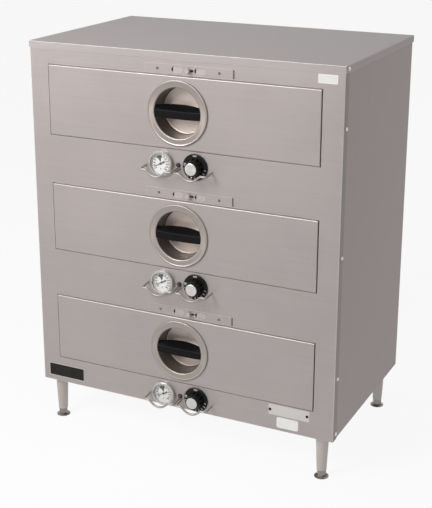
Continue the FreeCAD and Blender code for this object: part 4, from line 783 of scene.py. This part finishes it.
def make_bar(number, material, parts):
    """A grip bar across the cup's mouth. It rises to the back, where its edge is bowed."""
    low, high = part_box(f"handle_bar_{number}")
    inset, lift, half_length = 0.0012, 0.0005, 0.0533
    front_bend, back_bend = 0.0022, 0.003
    x = (low.x + high.x) / 2
    front, bottom = low.y + inset, low.z + lift
    top, rise = bottom + parts.bar_height, parts.bar_rise
    half_way = (bottom + top) / 2 + rise
    stations = 24
    shape = bmesh.new()
    rings = []
    for step in range(stations + 1):
        along = math.sin(math.pi * (step / stations - 0.5))
        bow = (parts.bar_depth - parts.bar_end_depth) * math.cos(along * math.pi / 2)
        back = front + parts.bar_end_depth + bow
        corners = [
            (back, half_way), (back, top + rise), (front, top), (front, bottom), (back, bottom + rise),
            (back, half_way),
        ]
        corners = [Vector((x + half_length * along, y, z)) for y, z in corners]
        loop = bent_path(corners, (back_bend, front_bend, front_bend, back_bend), 5)[:-1]
        rings.append([shape.verts.new(place) for place in loop])
    for one, other in zip(rings, rings[1:]):
        for place in range(len(one)):
            shape.faces.new((one[place - 1], one[place], other[place], other[place - 1]))
    shape.faces.new(rings[0])
    shape.faces.new(rings[-1][::-1])
    bmesh.ops.recalc_face_normals(shape, faces=shape.faces)
    mesh = smooth(mesh_from(shape, "grip_bar"))
    grip = piece(f"grip_bar_{number}", mesh, f"drawer_{number}", material)
    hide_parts(f"handle_bar_{number}")


class WARMER_OT_vents(bpy.types.Operator):
    """Finishes the vent covers and their shutters"""

    bl_idname = "warmer.vents"
    bl_label = "Vents"

    def execute(self, context):
        look = context.scene.warmer_finish
        # The vent covers get the full edge light: a painted highlight along their edges and folds.
        cover = sheet_steel("vent_steel", look.steel, ALONG_X, look.sheet_metal, edge=look.edge_light)
        coat(cover, "vent_covers")
        # The shutters are the front steel coloured 1.2 times lighter: painted light in the recess behind the
        # vent windows.
        shutter = sheet_steel("shutter_steel", [part * 1.2 for part in look.steel], ALONG_X, look.sheet_metal)
        coat(shutter, *[f"vent_shutter_{number}" for number in STATIONS])
        # A dark strip as painted shade over each slot, and a bright strip beside it as a painted highlight on
        # the slot's edge.
        painted_slot_shade = bright_plate("slot_painted_shade_steel", (0.17, 0.135, 0.12), 0.45, 0.3)
        rim = bright_plate("slot_painted_highlight_steel", [part * 1.35 for part in look.steel], 0.35, 0.5)
        add_latches(painted_slot_shade, rim)
        return {"FINISHED"}


def add_latches(painted_slot_shade, rim):
    """A dark strip over the slot at the end of each vent cover, a painted shade for the slot, and a bright
    strip beside it, a painted highlight on the slot's edge.
    """
    low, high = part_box("vent_covers")
    rows = [middle(f"vent_shutter_{number}").z for number in STATIONS]
    margin = 0.0012
    tall = high.z - low.z - (max(rows) - min(rows)) - 2 * margin
    strips = (
        ("vent_slot_painted_shade", 0.0021, 0.0038, 0.0002, painted_slot_shade),
        ("vent_slot_painted_highlights", 0.0045, 0.0010, 0.0003, rim),
    )
    for name, ahead, width, thickness, material in strips:
        shape = bmesh.new()
        for z in rows:
            where = lying_at(high.x + ahead, FACE - thickness, z)
            add_outline(shape, bar(width, tall), thickness, where)
        piece(name, mesh_from(shape, name), "cabinet", material)


# Radius of the ring of ticks on a dial
DIAL_RIM = 0.0209


class WARMER_OT_thermometers(bpy.types.Operator):
    """Finishes the thermometers and prints their dials"""

    bl_idname = "warmer.thermometers"
    bl_label = "Thermometers"

    def execute(self, context):
        look = context.scene.warmer_finish
        coat(bright_plate("bezel_chrome", (0.53, 0.50, 0.48), 0.28, 0.6), "thermometer_cases")
        coat(moulded("dial_enamel", look.enamel, 0.35, 2500.0, 0.05, 0.03), "thermometer_dials")
        coat(clear_glass("lens_glass"), "thermometer_lenses")
        black = moulded("needle_enamel", (0.01, 0.01, 0.01), 0.4, 2500.0, 0.05)
        coat(black, *[f"thermometer_needle_{number}" for number in STATIONS])
        dial_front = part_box("thermometer_dials")[0].y
        for number in STATIONS:
            print_dial(number, dial_front, black, context.scene.warmer_marks)
        return {"FINISHED"}


def print_dial(number, dial_front, ink, marks):
    """Ticks, figures and the dark zone at the top of one thermometer's dial."""
    centre_x = middle("thermometer_dials").x
    centre_z = middle(f"control_shaft_{number}").z
    y = dial_front - marks.ink
    shape = bmesh.new()
    first, last = math.radians(-133), math.radians(137)
    zone_middle, zone_half, zone_margin = math.radians(-12), math.radians(23), math.radians(6)
    long_tick, short_tick = (0.0009, 0.0024), (0.0005, 0.0013)
    steps = 60
    for step in range(steps + 1):
        turn = first + (last - first) * step / steps
        width, length = long_tick if step % 5 == 0 else short_tick
        x, z = around(centre_x, centre_z, DIAL_RIM - length / 2, turn)
        add_outline(shape, bar(width, length), marks.ink, lying_at(x, y, z, turn))
    figures = range(20, 261, 20)
    figure_inset, unit_drop, zone_inset, zone_foot = 0.0052, 0.0125, 0.0028, 0.0030
    for place, figure in enumerate(figures):
        turn = first + (last - first) * place / (len(figures) - 1)
        if abs(turn - zone_middle) < zone_half + zone_margin:
            continue
        x, z = around(centre_x, centre_z, DIAL_RIM - figure_inset, turn)
        add_words(shape, str(figure), marks.dial_figure, marks.ink, lying_at(x, y, z))
    add_words(shape, "F", marks.unit_letter, marks.ink, lying_at(centre_x, y, centre_z - unit_drop))
    zone = [(0.0, zone_foot)]
    zone += [around(0.0, 0.0, DIAL_RIM - zone_inset, zone_half * share) for share in (1, 0.5, 0, -0.5, -1)]
    add_outline(shape, zone, marks.ink, lying_at(centre_x, y, centre_z, zone_middle))
    piece(f"dial_print_{number}", mesh_from(shape, "dial_print"), "cabinet", ink)


class WARMER_OT_controls(bpy.types.Operator):
    """Finishes the knobs, pilot lights and wire guards and prints the knobs' skirts"""

    bl_idname = "warmer.controls"
    bl_label = "Controls"

    def execute(self, context):
        look = context.scene.warmer_finish
        marks = context.scene.warmer_marks
        knob = moulded("knob_plastic", look.plastic, 0.4, 1800.0, 0.1, Specular_IOR_Level=0.2)
        ink = moulded("knob_ink", (0.85, 0.84, 0.82), 0.5, 2500.0, 0.05)
        shaft = bright_plate("shaft_steel", (0.5, 0.5, 0.5), 0.3)
        for number in STATIONS:
            coat(knob, f"control_knob_{number}")
            cap = f"knob_cap_{number}"
            coat(spun_steel(f"cap_aluminium_{number}", (0.62, 0.60, 0.58), middle(cap), 0.6, 0.3), cap)
            coat(shaft, f"control_shaft_{number}")
            print_knob(number, ink, marks)
        dome = moulded("pilot_dome", (0.035, 0.022, 0.020), 0.15, 900.0, 0.05, Coat_Weight=0.2)
        coat(dome, "pilot_lights")
        make_guards(bright_plate("guard_wire", look.guard, 0.42, 0.4), context.scene.warmer_parts)
        return {"FINISHED"}


def make_guards(metal, parts):
    """Two bent wires under each station's controls, with their legs on the front frame."""
    drop, offset, shoulder, foot_rise = 0.011, 0.041, 0.013, 0.003
    leg_bend, shoulder_bend, bow_bend = 0.005, 0.008, 0.024
    bends = (leg_bend, shoulder_bend, bow_bend, shoulder_bend, leg_bend)
    front = FACE - parts.guard_reach + parts.wire / 2
    half = parts.guard_span / 2
    bow = half - shoulder
    shape = bmesh.new()
    for number in STATIONS:
        z = middle(f"control_shaft_{number}").z - drop
        foot, low = z + foot_rise, z - parts.guard_dip
        for side in (-1, 1):
            x = middle("wire_guards").x + side * offset
            corners = [
                (x - half, FACE, foot), (x - half, front, z), (x - bow, front, z), (x, front, low),
                (x + bow, front, z), (x + half, front, z), (x + half, FACE, foot),
            ]
            path = bent_path([Vector(corner) for corner in corners], bends)
            add_rod(shape, path, parts.wire / 2)
    guards = piece("guard_wires", smooth(mesh_from(shape, "guard_wires")), "cabinet", metal)
    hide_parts("wire_guards")


def print_knob(number, ink, marks):
    """OFF at the top of a knob's skirt, and figures round its lower side."""
    low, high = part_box(f"control_knob_{number}")
    centre = (low + high) / 2
    skirt_thickness, off_radius, figure_radius = 0.0026, 0.0243, 0.0240
    y = high.y - skirt_thickness - marks.ink
    shape = bmesh.new()
    add_words(shape, "OFF", marks.off_word, marks.ink, lying_at(centre.x, y, centre.z + off_radius))
    first, last = math.radians(100), math.radians(280)
    count = 10
    for place in range(count):
        turn = first + (last - first) * place / (count - 1)
        x, z = around(centre.x, centre.z, figure_radius, turn)
        add_words(shape, str(place + 1), marks.knob_figure, marks.ink, lying_at(x, y, z, turn))
    piece(f"knob_print_{number}", mesh_from(shape, "knob_print"), f"knob_{number}", ink)


class WARMER_OT_plates(bpy.types.Operator):
    """Adds the bare plates on the front frame"""

    bl_idname = "warmer.plates"
    bl_label = "Plates"

    def execute(self, context):
        white = moulded("label_film", (0.97, 0.965, 0.95), 0.35, 1200.0, 0.03, 0.04)
        pale = moulded("label_paper", (0.86, 0.84, 0.82), 0.5, 1200.0, 0.03, 0.04)
        black = moulded("plate_lacquer", (0.012, 0.011, 0.010), 0.4, 500.0, 0.3, 0.5, Specular_IOR_Level=0.2)
        steel = bright_plate("data_plate_steel", (0.60, 0.575, 0.56), 0.35)
        dark = moulded("rivet_black", (0.010, 0.010, 0.010), 0.4, Specular_IOR_Level=0.2)
        plate("top_label_edge", 0.679, 0.720, 0.019, 0.037, 0.0006, 0.00015, white)
        plate("top_label", 0.6805, 0.7185, 0.0205, 0.0355, 0.0004, 0.00025, pale)
        plate("corner_plate_edge", 0.0170, 0.1135, 0.7665, 0.7985, 0.0010, 0.0005, steel)
        plate("corner_plate", 0.0185, 0.112, 0.768, 0.797, 0.0008, 0.0009, black)
        plate("data_plate", 0.5856, 0.681, 0.750, 0.7745, 0.0015, 0.0006, steel)
        plate("lower_sticker", 0.605, 0.6555, 0.778, 0.803, 0.004, 0.0002, white)
        rivet_radius, rivet_height, rivet_proud = 0.0032, 0.0010, 0.0012
        shape = bmesh.new()
        for x, drop in ((0.5893, 0.7627), (0.6756, 0.7622)):
            where = lying_at(CABINET_LEFT + x, FACE - rivet_proud, CABINET_TOP - drop)
            add_outline(shape, disc(rivet_radius), rivet_height, where)
        piece("data_plate_rivets", mesh_from(shape, "data_plate_rivets"), "cabinet", dark)
        return {"FINISHED"}


def plate(name, left, right, top, bottom, radius, thickness, material):
    """A thin plate on the front frame, with its edges measured from the cabinet's top left corner."""
    x = CABINET_LEFT + (left + right) / 2
    z = CABINET_TOP - (top + bottom) / 2
    shape = bmesh.new()
    corners = rounded(right - left, bottom - top, radius)
    add_outline(shape, corners, thickness, lying_at(x, FACE - thickness, z))
    edges = [edge for edge in shape.edges if all(vert.co.y < FACE - thickness * 0.9 for vert in edge.verts)]
    bmesh.ops.bevel(shape, geom=edges, offset=thickness * 0.3, segments=2, affect="EDGES")
    piece(name, mesh_from(shape, name), "cabinet", material)


class WARMER_OT_studio(bpy.types.Operator):
    """Adds the floor, the lamps, the surroundings and the camera"""

    bl_idname = "warmer.studio"
    bl_label = "Studio"

    def execute(self, context):
        scene = context.scene
        scene.view_settings.view_transform = "Standard"
        studio = scene.warmer_studio
        make_floor(studio)
        make_surroundings(scene, studio)
        make_lamp("key_lamp", (-0.9, -1.9, 1.9), (0.0, 0.0, 0.55), 1.2, studio.key_power)
        make_lamp("fill_lamp", (3.2, -2.6, 1.4), (0.0, 0.0, 0.45), 2.0, studio.fill_power)
        make_lamp("top_lamp", (0.0, 0.2, 6.0), (0.0, 0.0, 0.9), 2.4, studio.top_power)
        make_lamp("back_lamp", (-1.4, 3.4, 2.2), (0.0, 0.0, 0.5), 2.4, studio.back_power)
        make_camera(scene, studio)
        return {"FINISHED"}


def seen_directly(graph):
    """One for rays from the camera, and for those that metal or glass sends on."""
    path = graph.add("ShaderNodeLightPath")
    direct = graph.math("MAXIMUM", path.outputs["Is Camera Ray"], path.outputs["Is Glossy Ray"])
    return graph.math("MAXIMUM", direct, path.outputs["Is Transmission Ray"])


def make_floor(studio):
    """A wide pale floor that glows for direct views, so that only the object's shadow tints it."""
    shape = bmesh.new()
    bmesh.ops.create_grid(shape, x_segments=1, y_segments=1, size=30.0)
    floor = bpy.data.objects.new("floor", mesh_from(shape, "floor"))
    bpy.context.scene.collection.objects.link(floor)
    material = bpy.data.materials.new("floor_paper")
    material.use_nodes = True
    material.node_tree.nodes.clear()
    graph = Graph(material.node_tree)
    diffuse = graph.add("ShaderNodeBsdfDiffuse", {"Color": rgba(studio.floor_colour)})
    glow = graph.add("ShaderNodeEmission", {"Color": (1.0, 1.0, 1.0, 1.0), "Strength": 1.0})
    share = graph.math("MULTIPLY", seen_directly(graph), 0.92)
    mix = graph.add("ShaderNodeMixShader", {0: share, 1: diffuse.outputs[0], 2: glow.outputs[0]})
    graph.add("ShaderNodeOutputMaterial", {"Surface": mix.outputs[0]})
    floor.data.materials.append(material)


def make_surroundings(scene, studio):
    """White to the eye and in reflections, and a gentle even light on the object."""
    world = bpy.data.worlds.new("surroundings")
    world.use_nodes = True
    world.node_tree.nodes.clear()
    graph = Graph(world.node_tree)
    strength = graph.stretch(seen_directly(graph), 0.0, 1.0, studio.ambient, 1.0)
    light = graph.add("ShaderNodeBackground", {"Color": (1.0, 1.0, 1.0, 1.0), "Strength": strength})
    graph.add("ShaderNodeOutputWorld", {"Surface": light.outputs[0]})
    scene.world = world


def make_lamp(name, place, target, size, power):
    lamp = bpy.data.lights.new(name, "AREA")
    lamp.shape = "DISK"
    lamp.size = size
    lamp.energy = power
    shown = bpy.data.objects.new(name, lamp)
    shown.location = place
    shown.rotation_euler = (Vector(target) - Vector(place)).to_track_quat("-Z", "Y").to_euler()
    bpy.context.scene.collection.objects.link(shown)


# The photograph's viewpoint, measured from the cabinet's front top left corner
EYE = Vector((1.474, -2.092, 0.391))
AZIMUTH = math.radians(26.30)
ELEVATION = math.radians(17.33)


def make_camera(scene, studio):
    camera = bpy.data.cameras.new("camera")
    camera.lens = studio.lens
    camera.shift_x = 0.015
    camera.shift_y = -0.08
    camera.clip_end = 100.0
    shown = bpy.data.objects.new("camera", camera)
    shown.location = Vector((CABINET_LEFT, COVER_LOW.y, CABINET_TOP)) + EYE
    turn = Matrix.Rotation(AZIMUTH, 4, "Z") @ Matrix.Rotation(math.pi / 2 - ELEVATION, 4, "X")
    shown.rotation_euler = turn.to_euler()
    scene.collection.objects.link(shown)
    scene.camera = shown


class WARMER_PT_panel(bpy.types.Panel):
    """Lists the warmer's settings and operators"""

    bl_idname = "WARMER_PT_panel"
    bl_label = "Food Warmer"
    bl_space_type = "VIEW_3D"
    bl_region_type = "UI"
    bl_category = "Food Warmer"

    def draw(self, context):
        for name, group in SETTINGS.items():
            box = self.layout.box()
            for field in group.__annotations__:
                box.prop(getattr(context.scene, name), field)
        for operator in OPERATORS:
            self.layout.operator(operator.bl_idname)


OPERATORS = (
    WARMER_OT_casing,
    WARMER_OT_legs,
    WARMER_OT_drawers,
    WARMER_OT_vents,
    WARMER_OT_thermometers,
    WARMER_OT_controls,
    WARMER_OT_plates,
    WARMER_OT_studio,
)
CLASSES = (*SETTINGS.values(), *OPERATORS, WARMER_PT_panel)


def register():
    for item in CLASSES:
        bpy.utils.register_class(item)
    for name, group in SETTINGS.items():
        setattr(bpy.types.Scene, name, PointerProperty(type=group))


def unregister():
    for name in SETTINGS:
        delattr(bpy.types.Scene, name)
    for item in reversed(CLASSES):
        bpy.utils.unregister_class(item)


def main():
    register()
    bpy.ops.warmer.casing()
    bpy.ops.warmer.legs()
    bpy.ops.warmer.drawers()
    bpy.ops.warmer.vents()
    bpy.ops.warmer.thermometers()
    bpy.ops.warmer.controls()
    bpy.ops.warmer.plates()
    bpy.ops.warmer.studio()


if __name__ == "__main__":
    main()
